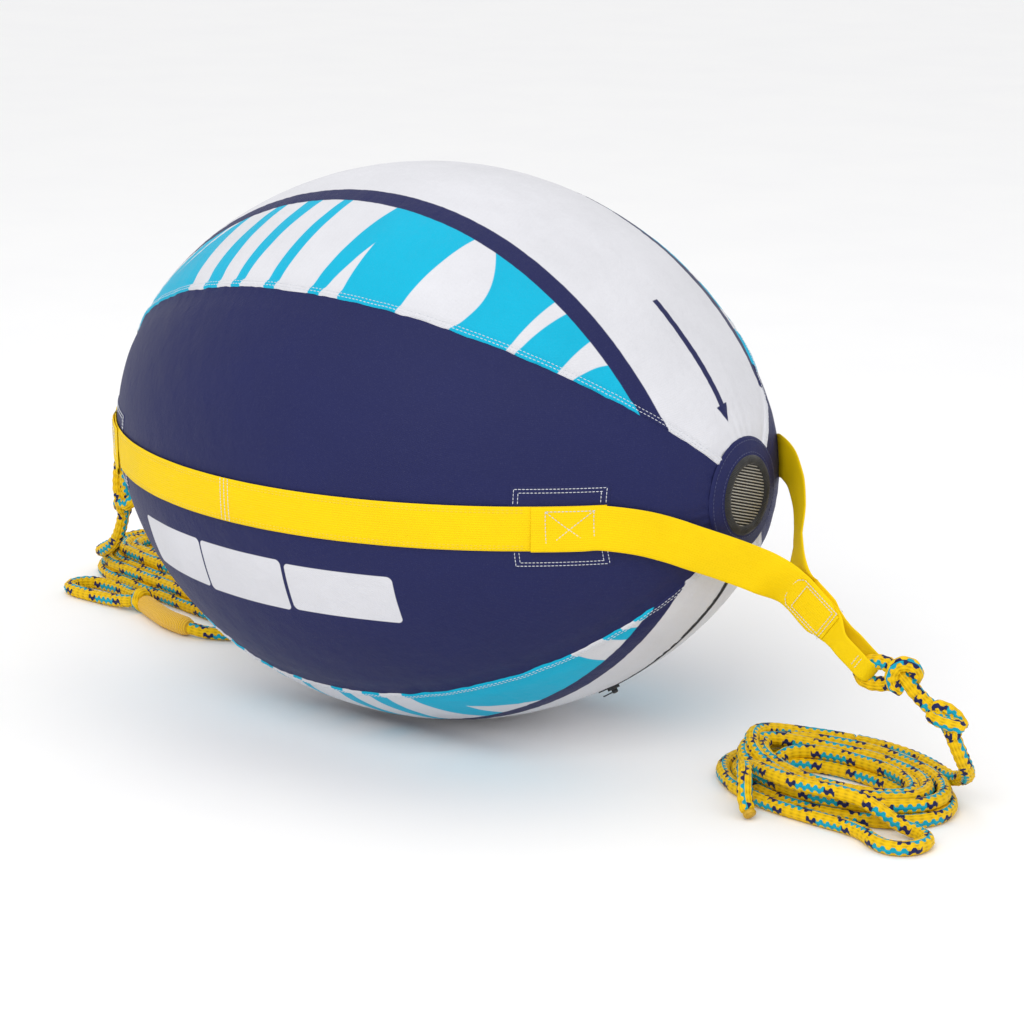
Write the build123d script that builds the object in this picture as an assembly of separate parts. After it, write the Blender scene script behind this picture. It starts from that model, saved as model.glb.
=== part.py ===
from build123d import *
import math
import os

# Towable booster ball: an inflated bladder in a sewn cover, with a webbing harness that ends in a
# tow loop at each pole, and a coiled rope tied to each loop.
# Millimetres. +X runs along the ball's axis to the front pole, +Z is up, -Y is the near side.
# The origin is the middle of the flat on which the ball rests.

os.makedirs("parts", exist_ok=True)

# ---- ball ----
half_length = 440.0  # centre to pole
ball_radius = 330.0  # at the belly
end_radius = 220.0  # arc of the profile round each pole
rest_flat_depth = 1.8  # how far the weight presses the belly flat
cover_thickness = 1.2
bladder_thickness = 0.8
bladder_gap = 0.3  # between cover and bladder
top_seam_angle = 49.0  # from the top, round the axis, to the upper side seams
bottom_seam_angle = 140.0  # from the top to the lower side seams

# ---- poles ----
end_patch_radius = 65.0
vent_mesh_radius = 38.0
vent_binding_inner_radius = 35.0
vent_binding_outer_radius = 46.0
vent_binding_height = 2.2  # proud of the cover

# ---- zipper, along the bottom of the front half ----
zip_rear_x = 240.0
zip_front_setback = 16.0  # from the front pole, along the axis
zip_slot_width = 10.0
zip_tape_split = 0.4
zip_coil_width = 5.0
zip_coil_height = 2.0
zip_stop_length = 5.0
slider_length = 14.0
slider_width = 10.0
slider_corner_radius = 2.5
slider_wall_gap = 0.4  # slider to cover, and slider to coil
slider_height = 4.6  # above the cover
slider_parked_x = 258.0
slider_lug_thickness = 1.2
slider_lug_gap = 3.2
pull_pin_radius = 1.1
pull_pin_clearance = 0.08
pull_pin_height = 7.2  # above the cover
pull_length = 18.0
pull_width = 6.0
pull_thickness = 1.4
pull_neck_length = 6.0
pull_corner_radius = 1.5
pull_overlap = 1.0
pull_lean = 58.0  # laid back along the tape, from straight down

# ---- inflation valve, in a pocket of the bladder under the zipper ----
valve_x = 300.0
pocket_radius = 34.0
pocket_depth = 17.0
valve_flange_radius = 26.0
valve_flange_thickness = 1.5
valve_neck_outer_radius = 14.0
valve_bore_radius = 10.8
valve_neck_top_depth = 9.0
valve_neck_bottom_depth = 33.0
valve_cap_radius = 15.5
valve_cap_clearance = 0.08
valve_cap_gap = 0.1
valve_cap_thickness = 5.4
valve_plug_length = 7.0
valve_grip_length = 24.0
valve_grip_width = 5.0
valve_grip_height = 2.4
valve_flap_radius = 12.4
valve_flap_thickness = 1.2
valve_flap_gap = 0.1
valve_flap_lug = 2.0

# ---- harness webbing ----
webbing_width = 50.0
webbing_thickness = 3.0
strap_drop = 12.0  # centre of the sewn strap below the belly line
strap_end_setback = 74.0  # from the pole, along the axis
reinforcement_size = 95.0
reinforcement_setback = 106.0  # from the pole to the patch's middle
reinforcement_thickness = 0.8
loop_tongue_start = 10.0
loop_tongue_end = 62.0
loop_tongue_width = 46.0
loop_length = 133.0  # from where the arms meet to the tip
loop_leg_thickness = 4.0
loop_rope_clearance = 1.5  # the rope's room between the two legs
loop_flat = 1.0  # short of a full round at the end of the loop
bar_end_share = 0.7  # how round the ends of a knot are, as a share of its radius
loop_leg_start = 84.0
loop_leg_width = 20.0

# ---- ropes ----
rope_diameter = 16.5
rope_seat_gap = 1.45  # between the rope and the loop's tip
knot_length = 46.0
knot_radius = 16.0

front_coil_centre = (120.0, 20.0)  # away from the front pole, and across
front_coil_half_length = 158.0
front_coil_half_width = 112.0
front_coil_turn = -8.0
front_coil_bundle = 70.0
front_coil_height = 34.0
rear_coil_centre = (82.0, 191.0)  # away from the rear pole, and across
rear_coil_straight = 300.0
rear_coil_half_width = 102.0
rear_coil_turn = -12.0
rear_coil_bundle = 84.0
rear_coil_height = 47.0
coil_edge_radius = 9.0

splice_radius = 13.0
tail_knot_radius = 17.0
tail_knot_height = 28.0
wrap_radius = 17.0
wrap_length = 26.0

# ---- what follows from those sizes ----
centre_height = ball_radius - rest_flat_depth
belly_drop = ((half_length - end_radius) ** 2 - (ball_radius - end_radius) ** 2) / (
    2 * (ball_radius - end_radius)
)
belly_radius = ball_radius + belly_drop
reach = 2 * (half_length + ball_radius)  # longer than anything that it cuts
strap_height = centre_height - strap_drop
strap_end_x = half_length - strap_end_setback
reinforcement_x = half_length - reinforcement_setback
zip_front_x = half_length - zip_front_setback
rope_radius = rope_diameter / 2
loop_gap = rope_diameter + loop_rope_clearance
rope_seat = loop_length - loop_leg_thickness - rope_seat_gap - rope_radius


def axial_point(radius, angle):
    """A point in the plane across the ball's axis, by the angle from the top towards -Y."""
    return (-radius * math.sin(math.radians(angle)), radius * math.cos(math.radians(angle)))


def ball_solid(inset):
    """The ball's own shape, shrunk by inset on every side, with the flat that it rests on."""
    belly = belly_radius - inset
    end = end_radius - inset
    end_x = half_length - end_radius
    lean = math.asin(end_x / (belly_radius - end_radius))
    half_lean = (math.pi / 2 - lean) / 2

    def end_point(angle, side):
        return (side * (end_x + end * math.cos(angle)), end * math.sin(angle))

    right = end_point(math.pi / 2 - lean, 1)
    left = end_point(math.pi / 2 - lean, -1)
    pole_right = end_point(0, 1)
    pole_left = end_point(0, -1)
    outline = [
        ThreePointArc(pole_right, end_point(half_lean, 1), right),
        ThreePointArc(right, (0, belly - belly_drop), left),
        ThreePointArc(left, end_point(half_lean, -1), pole_left),
        Line(pole_left, pole_right),
    ]
    body = revolve(make_face(outline), axis=Axis.X)
    above = Box(reach, reach, reach, align=(Align.CENTER, Align.CENTER, Align.MIN))
    return (Pos(0, 0, centre_height) * body) & (Pos(0, 0, inset) * above)


def skin(inner, outer):
    """A layer of the ball from one inset to a smaller one."""
    return ball_solid(outer) - ball_solid(inner)


def sector(start, end):
    """A wedge along the ball's axis between two angles from the top, towards -Y."""
    middle = (start + end) / 2
    corners = [(0, 0), axial_point(reach, start), axial_point(reach, middle), axial_point(reach, end)]
    wedge = extrude(Plane.YZ * make_face(Polyline(*corners, close=True)), amount=reach, both=True)
    return Pos(0, 0, centre_height) * wedge


def pole_cylinder(radius, side):
    """A cylinder on the ball's axis that covers one pole."""
    rod = Cylinder(radius, reach, align=(Align.CENTER, Align.CENTER, Align.MIN))
    return Pos(0, 0, centre_height) * Rot(0, 90 * side, 0) * rod


def block(low, high):
    """A box from its lowest corner to its highest."""
    size = [b - a for a, b in zip(low, high)]
    middle = [(a + b) / 2 for a, b in zip(low, high)]
    return Pos(*middle) * Box(*size)


def bottom_plane(x, depth=0.0):
    """The plane on the ball's lowest line at x: its z points out, its x runs towards the front."""
    angle = math.asin(x / belly_radius)
    out = Vector(math.sin(angle), 0, -math.cos(angle))
    along = Vector(math.cos(angle), 0, math.sin(angle))
    hub = Vector(0, 0, centre_height + belly_drop)
    return Plane(origin=hub + out * (belly_radius - depth), x_dir=along, z_dir=out)


def ribbon(stations, first, last):
    """Webbing through some of the stations, each a centre and a direction for the webbing's width."""
    centres = [Vector(*centre) for centre, _ in stations]
    sections = []
    for i in range(first, last + 1):
        before = centres[max(i - 1, 0)]
        after = centres[min(i + 1, len(centres) - 1)]
        along = (after - before).normalized()
        up = Vector(*stations[i][1])
        across = (up - along * along.dot(up)).normalized()
        half_width = across * (webbing_width / 2)
        half_thickness = along.cross(across) * (webbing_thickness / 2)
        corners = [
            centres[i] + half_width + half_thickness,
            centres[i] - half_width + half_thickness,
            centres[i] - half_width - half_thickness,
            centres[i] + half_width - half_thickness,
        ]
        sections.append(Face(Wire.make_polygon(corners)))
    return loft(sections, ruled=True)


def arc_radii(points):
    """For each corner, 0.45 of the shorter run over the tangent of half the turn."""
    radii = []
    for before, corner, after in zip(points, points[1:], points[2:]):
        first = corner - before
        second = after - corner
        half_turn = math.radians(first.get_angle(second) / 2)
        radii.append(0.45 * min(first.length, second.length) / math.tan(half_turn))
    return radii


def rope_tube(name, points, radius=rope_radius):
    """A rope along straight runs joined by tangent arcs that fit the runs."""
    path_points = [Vector(*point) for point in points]
    bends = arc_radii(path_points)
    path = FilletPolyline(*path_points, radius=bends)
    start = Plane(origin=path @ 0, z_dir=path % 0)
    tube = sweep(start * Circle(radius), path=path)
    ideal = math.pi * radius**2 * path.length
    in_diameters = [round(bend / (2 * radius), 2) for bend in bends]
    print(f"{name}: length {path.length:.1f}, volume ratio {tube.volume / ideal:.4f}")
    print(f"  bends in diameters {in_diameters}")
    return tube


def rounded_bar(radius, length, centre, along):
    """The plain form of a knot or a wrapping: a bar with rounded ends, lying along a direction."""
    bar = Cylinder(radius, length)
    bar = fillet(bar.edges(), radius=bar_end_share * radius)
    return Plane(origin=Vector(centre), z_dir=Vector(along)).location * bar


def on_floor(side, away, across, height):
    """A point given from a pole: away from the ball, across the axis, and up from the floor."""
    return (side * (half_length + away), across, height)


def coil_solid(outline, hole, height, turn, side, centre):
    """A flat coil of rope as one closed ring."""
    ring = extrude(outline - hole, amount=height)
    ring = fillet(ring.edges(), radius=coil_edge_radius)
    return Pos(*on_floor(side, *centre, 0)) * Rot(0, 0, turn) * ring


parts = {}

# ---- cover: four gores sewn side by side, round patches over both poles ----
cover = skin(cover_thickness, 0)
for side in (1, -1):
    cover -= pole_cylinder(end_patch_radius, side)
zip_slot = block(
    (zip_rear_x, -zip_slot_width / 2, 0),
    (zip_front_x, zip_slot_width / 2, centre_height),
)
parts["cover_top"] = cover & sector(-top_seam_angle, top_seam_angle)
parts["cover_side_near"] = cover & sector(top_seam_angle, bottom_seam_angle)
parts["cover_side_far"] = cover & sector(-bottom_seam_angle, -top_seam_angle)
parts["cover_bottom"] = (cover & sector(bottom_seam_angle, 360 - bottom_seam_angle)) - zip_slot

whole_cover = skin(cover_thickness, 0)
raised_cover = skin(0, -vent_binding_height)
for end_name, side in (("front", 1), ("rear", -1)):
    patch_zone = pole_cylinder(end_patch_radius, side) - pole_cylinder(vent_mesh_radius, side)
    binding_zone = pole_cylinder(vent_binding_outer_radius, side)
    binding_zone -= pole_cylinder(vent_binding_inner_radius, side)
    parts[f"{end_name}_end_patch"] = whole_cover & patch_zone
    parts[f"{end_name}_vent_mesh"] = whole_cover & pole_cylinder(vent_mesh_radius, side)
    parts[f"{end_name}_vent_binding"] = raised_cover & binding_zone

# ---- zipper ----
tape_zone = zip_slot - block((0, -zip_tape_split / 2, 0), (reach, zip_tape_split / 2, centre_height))
parts["zip_tape"] = (cover & tape_zone)
coil_skin = skin(0, -zip_coil_height)
coil_half = zip_coil_width / 2
coil_start = zip_rear_x + zip_stop_length
coil_end = zip_front_x - zip_stop_length
parts["zip_coil"] = coil_skin & block((coil_start, -coil_half, 0), (coil_end, coil_half, centre_height))
stops = coil_skin & block((zip_rear_x, -coil_half, 0), (coil_start, coil_half, centre_height))
stops += coil_skin & block((coil_end, -coil_half, 0), (zip_front_x, coil_half, centre_height))
parts["zip_stops"] = stops

channel_width = zip_coil_width + 2 * slider_wall_gap
channel_height = zip_coil_height + slider_wall_gap
slider = block(
    (-slider_length / 2, -slider_width / 2, slider_wall_gap),
    (slider_length / 2, slider_width / 2, slider_height),
)
slider = fillet(slider.edges().filter_by(Axis.Z), radius=slider_corner_radius)
slider -= block(
    (-slider_length, -channel_width / 2, 0),
    (slider_length, channel_width / 2, channel_height),
)
lug_outer = slider_lug_gap / 2 + slider_lug_thickness
lug_half = pull_pin_radius + slider_lug_thickness
for y_low, y_high in ((-lug_outer, -slider_lug_gap / 2), (slider_lug_gap / 2, lug_outer)):
    lug = block((-lug_half, y_low, slider_height - slider_wall_gap), (lug_half, y_high, pull_pin_height))
    cap = Cylinder(lug_half, y_high - y_low, rotation=(90, 0, 0))
    slider += lug + Pos(0, (y_low + y_high) / 2, pull_pin_height) * cap
slider += Pos(0, 0, pull_pin_height) * Cylinder(pull_pin_radius, 2 * lug_outer, rotation=(90, 0, 0))
slider_plane = bottom_plane(slider_parked_x)
parts["zip_slider"] = slider_plane.location * slider

pin_point = slider_plane.from_local_coords(Vector(0, 0, pull_pin_height))
eye_hole = pull_pin_radius + pull_pin_clearance
eye_outer = eye_hole + slider_lug_thickness
eye_width = slider_lug_gap - 2 * slider_wall_gap
eye = Cylinder(eye_outer, eye_width, rotation=(90, 0, 0))
neck = block((-pull_thickness / 2, -eye_width / 2, -pull_neck_length - pull_overlap), (pull_thickness / 2, eye_width / 2, 0))
tab = block(
    (-pull_thickness / 2, -pull_width / 2, -pull_length),
    (pull_thickness / 2, pull_width / 2, -pull_neck_length),
)
tab = fillet(tab.edges().filter_by(Axis.X), radius=pull_corner_radius)
pull = eye + neck + tab - Cylinder(eye_hole, pull_width * 2, rotation=(90, 0, 0))
parts["zip_pull"] = Pos(pin_point.X, pin_point.Y, pin_point.Z) * Rot(0, pull_lean, 0) * pull

# ---- bladder, with the pocket that its valve sits in ----
bladder_inset = cover_thickness + bladder_gap
valve_plane = bottom_plane(valve_x, bladder_inset)


def in_valve(shape, depth):
    """Puts a shape on the valve's axis, its local z pointing out, at a depth under the bladder's face."""
    return valve_plane.location * Pos(0, 0, -depth) * shape


def valve_disc(radius, top_depth, bottom_depth):
    """A round slice of the valve between two depths."""
    thickness = bottom_depth - top_depth
    return in_valve(Cylinder(radius, thickness), (top_depth + bottom_depth) / 2)


pocket_outer = valve_disc(pocket_radius, -pocket_depth, pocket_depth)
pocket_inner = valve_disc(
    pocket_radius + bladder_thickness, -pocket_depth, pocket_depth + bladder_thickness
)
bladder_outside = ball_solid(bladder_inset) - pocket_outer
bladder_inside = ball_solid(bladder_inset + bladder_thickness) - pocket_inner
neck_hole = valve_disc(valve_neck_outer_radius, 0, valve_neck_bottom_depth)
parts["bladder"] = bladder_outside - bladder_inside - neck_hole

flange = valve_disc(valve_flange_radius, pocket_depth - valve_flange_thickness, pocket_depth)
neck_tube = valve_disc(valve_neck_outer_radius, valve_neck_top_depth, valve_neck_bottom_depth)
bore = valve_disc(valve_bore_radius, 0, valve_neck_bottom_depth + 1)
parts["valve_base"] = flange + neck_tube - bore

cap_bottom = valve_neck_top_depth - valve_cap_gap
cap_top = cap_bottom - valve_cap_thickness
cap = valve_disc(valve_cap_radius, cap_top, cap_bottom)
cap += valve_disc(valve_bore_radius - valve_cap_clearance, cap_bottom, cap_bottom + valve_plug_length)
grip = Box(valve_grip_length, valve_grip_width, valve_grip_height)
cap += in_valve(grip, cap_top - valve_grip_height / 2)
parts["valve_cap"] = cap

flap_top = valve_neck_bottom_depth + valve_flap_gap
flap_middle = flap_top + valve_flap_thickness / 2
flap = valve_disc(valve_flap_radius, flap_top, flap_top + valve_flap_thickness)
lug_length = valve_neck_outer_radius - valve_flap_radius + valve_flap_lug
lug = Box(lug_length, 3 * valve_flap_lug, valve_flap_thickness)
flap += in_valve(Pos(lug_length / 2 - valve_neck_outer_radius, 0, 0) * lug, flap_middle)
parts["valve_flap"] = flap

# ---- harness: straps sewn to both sides, over four reinforcement patches ----
strap_skin = skin(0, -webbing_thickness)
patch_skin = skin(0, -reinforcement_thickness)
for side_name, near in (("near", -1), ("far", 1)):
    low_y, high_y = sorted((0, near * reach))
    band = block(
        (-strap_end_x, low_y, strap_height - webbing_width / 2),
        (strap_end_x, high_y, strap_height + webbing_width / 2),
    )
    strap = strap_skin & band
    half_patch = reinforcement_size / 2
    patch_half_x = half_patch * math.cos(math.asin(reinforcement_x / belly_radius))
    for end_name, side in (("front", 1), ("rear", -1)):
        middle = side * reinforcement_x
        zone = block(
            (middle - patch_half_x, low_y, strap_height - half_patch),
            (middle + patch_half_x, high_y, strap_height + half_patch),
        )
        patch = patch_skin & zone
        strap -= patch
        parts[f"{end_name}_reinforcement_{side_name}"] = patch
    parts[f"side_strap_{side_name}"] = strap

# ---- bridles: both arms leave the ball, meet, and end in a webbing loop ----
# Each station is a place and the direction of the webbing's width. Places are given from the pole:
# along the axis away from the ball, across it, and up from the ball's centre. The first stations of
# each list are the soft stretch beside the ball, and the rest swings with the loop.
front_loop_along = (0.7986, 0, -0.6018)
front_loop_up = (0.6018, 0, 0.7986)
rear_loop_along = (-0.500, 0.420, -0.757)
rear_loop_up = (-0.579, 0.486, 0.653)
upright = (0, 0, 1)


def from_pole(side, away, across, up):
    """A point given from a pole: away from the ball, across the axis, and up from its centre."""
    return (side * (half_length + away), across, centre_height + up)


front_meeting = from_pole(1, 63, 0, -95)
rear_meeting = from_pole(-1, 133, 58, -55)

bridle_stations = {
    ("front", "near"): [
        ((-74, -171.5, -12.2), upright),
        ((-46, -142, -20.2), upright),
        ((-27, -114, -31.2), upright),
        ((-10, -92, -42.2), upright),
        ((15, -60, -58.2), upright),
        ((40, -28, -76.2), upright),
        ((63, -4.7, -95), front_loop_up),
        ((90, -4.7, -115.3), front_loop_up),
        ((112.5, -4.7, -132.3), front_loop_up),
    ],
    ("front", "far"): [
        ((-74, 171.5, -8.2), upright),
        ((-48, 149, 5.8), upright),
        ((-30, 125, 19.8), upright),
        ((-8, 100, 27.8), upright),
        ((22, 74, 17.8), (0.3, -0.2, 1)),
        ((46, 47, -8.2), (0.6, -0.3, 0.8)),
        ((58, 22, -46.2), front_loop_up),
        ((66, 6.2, -92.2), front_loop_up),
        ((90, 4.7, -115.3), front_loop_up),
        ((112.5, 4.7, -132.3), front_loop_up),
    ],
    ("rear", "near"): [
        ((-74, -171.5, -12.2), upright),
        ((-46, -143, -16.2), upright),
        ((-20, -115, -20.2), upright),
        ((7, -84, -25.2), upright),
        ((40, -45, -33.2), upright),
        ((74, -6, -40.2), upright),
        ((103, 34, -47.2), upright),
        ((140, 57.5, -61.1), rear_loop_up),
        ((153, 68.4, -80.7), rear_loop_up),
        ((167, 80.2, -101.9), rear_loop_up),
    ],
    ("rear", "far"): [
        ((-74, 171.5, -12.2), upright),
        ((-46, 153, -10.2), upright),
        ((-18, 140, -6.2), upright),
        ((10, 128, -4.2), upright),
        ((50, 110, -8.2), upright),
        ((90, 90, -23.2), (-0.2, 0.15, 1)),
        ((120, 72, -43.2), rear_loop_up),
        ((134, 64.6, -61.1), rear_loop_up),
        ((147, 75.6, -80.7), rear_loop_up),
        ((161, 87.4, -101.9), rear_loop_up),
    ],
}
first_moving_station = {("front", "near"): 3, ("front", "far"): 4, ("rear", "near"): 3, ("rear", "far"): 3}


def tow_loop(meeting, along, up):
    """The doubled end of the harness: a flat tongue between both arms, then a loop for the rope."""
    half_gap = loop_gap / 2
    half_outer = half_gap + loop_leg_thickness
    half_tongue = webbing_thickness
    outer = Polyline(
        (loop_tongue_end, -half_tongue),
        (loop_leg_start, -half_outer),
        (loop_length, -half_outer),
        (loop_length, half_outer),
        (loop_leg_start, half_outer),
        (loop_tongue_end, half_tongue),
        close=True,
    )
    inner_tip = loop_length - loop_leg_thickness
    inner = Polyline(
        (loop_tongue_end + loop_leg_thickness, 0),
        (loop_leg_start, -half_gap),
        (inner_tip, -half_gap),
        (inner_tip, half_gap),
        (loop_leg_start, half_gap),
        close=True,
    )
    body = extrude(make_face(outer), amount=loop_leg_width / 2, both=True)
    tip_edges = body.edges().filter_by(Axis.Z).sort_by(Axis.X)[-2:]
    body = fillet(tip_edges, radius=half_outer - loop_flat)
    hole = extrude(make_face(inner), amount=loop_leg_width, both=True)
    hole_edges = hole.edges().filter_by(Axis.Z).sort_by(Axis.X)[-2:]
    body -= fillet(hole_edges, radius=half_gap - loop_flat)
    body += block(
        (loop_tongue_start, -half_tongue, -loop_tongue_width / 2),
        (loop_tongue_end, half_tongue, loop_tongue_width / 2),
    )
    return Plane(origin=Vector(*meeting), x_dir=Vector(*along), z_dir=Vector(*up)).location * body


parts["front_tow_loop"] = tow_loop(front_meeting, front_loop_along, front_loop_up)
parts["rear_tow_loop"] = tow_loop(rear_meeting, rear_loop_along, rear_loop_up)

for (end_name, side_name), given in bridle_stations.items():
    side = 1 if end_name == "front" else -1
    stations = [(from_pole(side, *place), up) for place, up in given]
    split = first_moving_station[(end_name, side_name)]
    sewn_strap = parts[f"side_strap_{side_name}"]
    sewn_patch = parts[f"{end_name}_reinforcement_{side_name}"]
    flex = ribbon(stations, 0, split) - sewn_strap - sewn_patch
    arm = ribbon(stations, split, len(stations) - 1) - parts[f"{end_name}_tow_loop"]
    parts[f"{end_name}_flex_web_{side_name}"] = flex.solids().sort_by(SortBy.VOLUME)[-1]
    parts[f"{end_name}_bridle_{side_name}"] = arm.solids().sort_by(SortBy.VOLUME)[-1]


# ---- ropes ----
def in_loop(meeting, along, up, route):
    """Points given along and across a tow loop, as points of the part's own frame."""
    start = Vector(*meeting)
    return [start + Vector(*along) * forward + Vector(*up) * across for forward, across in route]


front_hitch_route = [
    (210, 32),
    (178, 42),
    (150, 40),
    (129, 28),
    (rope_seat, 11),
    (rope_seat, -8),
    (124, -22),
    (139, -27),
    (156, -12),
    (178, 6),
    (212, 14),
]
rear_hitch_route = [
    (176, -40),
    (152, -42),
    (130, -29),
    (rope_seat, -11),
    (rope_seat, 8),
    (124, 21),
    (138, 24),
    (152, 10),
    (164, -6),
    (176, -20),
]
front_knot_centre = in_loop(front_meeting, front_loop_along, front_loop_up, [(225, 27)])[0]
rear_knot_centre = in_loop(rear_meeting, rear_loop_along, rear_loop_up, [(177.5, -24)])[0]
front_knot = rounded_bar(knot_radius, knot_length, front_knot_centre, (1, 0, 0))
rear_knot = rounded_bar(knot_radius, knot_length, rear_knot_centre, (-0.766, 0.643, 0))
parts["front_rope_knot"] = front_knot
parts["rear_rope_knot"] = rear_knot
front_hitch_points = in_loop(front_meeting, front_loop_along, front_loop_up, front_hitch_route)
rear_hitch_points = in_loop(rear_meeting, rear_loop_along, rear_loop_up, rear_hitch_route)
parts["front_rope_hitch"] = rope_tube("front_rope_hitch", front_hitch_points) - front_knot
parts["rear_rope_hitch"] = rope_tube("rear_rope_hitch", rear_hitch_points) - rear_knot

front_hole_half_length = front_coil_half_length - front_coil_bundle
front_coil = coil_solid(
    Ellipse(front_coil_half_length, front_coil_half_width),
    Ellipse(front_hole_half_length, front_coil_half_width - front_coil_bundle),
    front_coil_height,
    front_coil_turn,
    1,
    front_coil_centre,
)
rear_hole_half_width = rear_coil_half_width - rear_coil_bundle
rear_coil = coil_solid(
    SlotCenterToCenter(rear_coil_straight, 2 * rear_coil_half_width),
    SlotCenterToCenter(rear_coil_straight, 2 * rear_hole_half_width),
    rear_coil_height,
    rear_coil_turn,
    -1,
    rear_coil_centre,
)
parts["front_rope_coil"] = front_coil
parts["rear_rope_coil"] = rear_coil

# Both ropes run from their knots down into their coils. Their points are given from the poles:
# away from the ball, across the axis, and up from the floor.
front_lead_route = [(262, 1, 112), (272, 7, 82), (273, 24, 58), (262, 46, 42), (242, 66, 30)]
rear_lead_route = [
    (210, 122, 116),
    (215, 122, 92),
    (226, 124, 70),
    (244, 130, 54),
    (266, 140, 42),
    (282, 152, 32),
]
front_lead_points = [on_floor(1, *place) for place in front_lead_route]
rear_lead_points = [on_floor(-1, *place) for place in rear_lead_route]
parts["front_rope"] = rope_tube("front_rope", front_lead_points) - front_knot - front_coil
parts["rear_rope"] = rope_tube("rear_rope", rear_lead_points) - rear_knot - rear_coil

# The free ends come out of the coils and end in spliced eyes.
low = rope_radius + 0.05  # a rope that lies on the floor
splice_low = splice_radius + 0.05
wrap_low = wrap_radius + 0.05
front_eye_route = [
    (177, -72, 16),
    (210, -89, 10),
    (240, -115, low),
    (265, -117, low),
    (284, -99, low),
    (284, -73, low),
    (266, -55, low),
    (238, -43, 10),
    (210, -37, 14),
]
front_eye_points = [on_floor(1, *place) for place in front_eye_route]
parts["front_rope_eye"] = rope_tube("front_rope_eye", front_eye_points) - front_coil
wrap_centre = on_floor(1, 70, -98, wrap_low)
parts["front_rope_wrap"] = rounded_bar(wrap_radius, wrap_length, wrap_centre, (0.93, -0.37, 0)) - front_coil

rear_tail_route = [(-110, 95, 20), (-98, 62, 13), (-74, 34, 9), (-42, 16, low), (-10, 9, splice_low)]
rear_splice_route = [
    (-16, 9, splice_low),
    (25, 15, splice_low),
    (65, 32, splice_low),
    (108, 53, splice_low),
]
rear_eye_route = [
    (125, 66, 14),
    (153, 82, 10),
    (186, 94, low),
    (222, 99, low),
    (249, 98, low),
    (264, 84, low),
    (264, 63, low),
    (249, 50, low),
    (220, 48, low),
    (188, 49, low),
    (156, 48, 10),
    (122, 49, 14),
]
rear_tail_points = [on_floor(-1, *place) for place in rear_tail_route]
rear_splice_points = [on_floor(-1, *place) for place in rear_splice_route]
rear_eye_points = [on_floor(-1, *place) for place in rear_eye_route]
half_hitch = fillet(Cylinder(tail_knot_radius, tail_knot_height).edges(), radius=coil_edge_radius)
half_hitch = Pos(*on_floor(-1, 120, 57, tail_knot_height / 2 + 0.05)) * half_hitch
rear_splice = rope_tube("rear_rope_splice", rear_splice_points, splice_radius) - half_hitch
parts["rear_rope_half_hitch"] = half_hitch
parts["rear_rope_splice"] = rear_splice
rear_tail = rope_tube("rear_rope_tail", rear_tail_points)
parts["rear_rope_tail"] = rear_tail - rear_coil - rear_splice
parts["rear_rope_eye"] = rope_tube("rear_rope_eye", rear_eye_points) - half_hitch

for name, shape in parts.items():
    export_step(shape, f"parts/{name}.step")
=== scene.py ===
import logging
import math
from dataclasses import dataclass
from enum import Enum
from typing import Callable, Optional, Sequence

import bpy
import numpy as np
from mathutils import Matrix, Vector, noise


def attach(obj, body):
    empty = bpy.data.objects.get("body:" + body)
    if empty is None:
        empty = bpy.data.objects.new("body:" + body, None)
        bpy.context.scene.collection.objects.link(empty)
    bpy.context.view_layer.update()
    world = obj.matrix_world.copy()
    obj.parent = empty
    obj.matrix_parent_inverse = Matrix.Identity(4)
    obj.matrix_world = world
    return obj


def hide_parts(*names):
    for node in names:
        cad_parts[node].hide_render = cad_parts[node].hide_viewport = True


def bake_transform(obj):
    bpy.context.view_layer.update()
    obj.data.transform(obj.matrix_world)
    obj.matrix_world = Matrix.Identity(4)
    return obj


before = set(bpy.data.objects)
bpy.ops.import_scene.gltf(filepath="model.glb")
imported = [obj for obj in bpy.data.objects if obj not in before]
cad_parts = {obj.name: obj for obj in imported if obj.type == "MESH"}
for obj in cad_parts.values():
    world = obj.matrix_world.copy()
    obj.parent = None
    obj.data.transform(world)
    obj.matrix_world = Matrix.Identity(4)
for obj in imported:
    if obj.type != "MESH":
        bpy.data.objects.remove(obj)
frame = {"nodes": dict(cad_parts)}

logging.basicConfig(level=logging.INFO, format="%(message)s")
LOG = logging.getLogger("tow_ball")

MM = 0.001
UP = Vector((0.0, 0.0, 1.0))
STARTUP_OBJECTS = ("Cube", "Light", "Camera")
for startup_name in STARTUP_OBJECTS:
    startup_object = bpy.data.objects.get(startup_name)
    if startup_object is not None:
        bpy.data.objects.remove(startup_object)
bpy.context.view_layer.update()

Pair = tuple[float, float]
Triple = tuple[float, float, float]
Colour = tuple[float, float, float, float]
Piece = bpy.types.Object
Finishes = dict[str, bpy.types.Material]
Place = Callable[[float, float], Vector]
Print = Callable[[float, float], Pair]
Stitch = tuple[Vector, Vector, Vector]
Station = tuple[Triple, Triple]


def dye(red: int, green: int, blue: int) -> Colour:
    """Turns a colour of screen values into a linear one.

    Args:
        red: Red, from 0 to 255.
        green: Green, from 0 to 255.
        blue: Blue, from 0 to 255.

    Returns:
        The linear colour with full alpha.
    """
    shares = [channel / 255 for channel in (red, green, blue)]
    linear = [c / 12.92 if c <= 0.04045 else ((c + 0.055) / 1.055) ** 2.4 for c in shares]
    return (linear[0], linear[1], linear[2], 1.0)


# ---------------------------------------------------------------- shader kit


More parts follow.
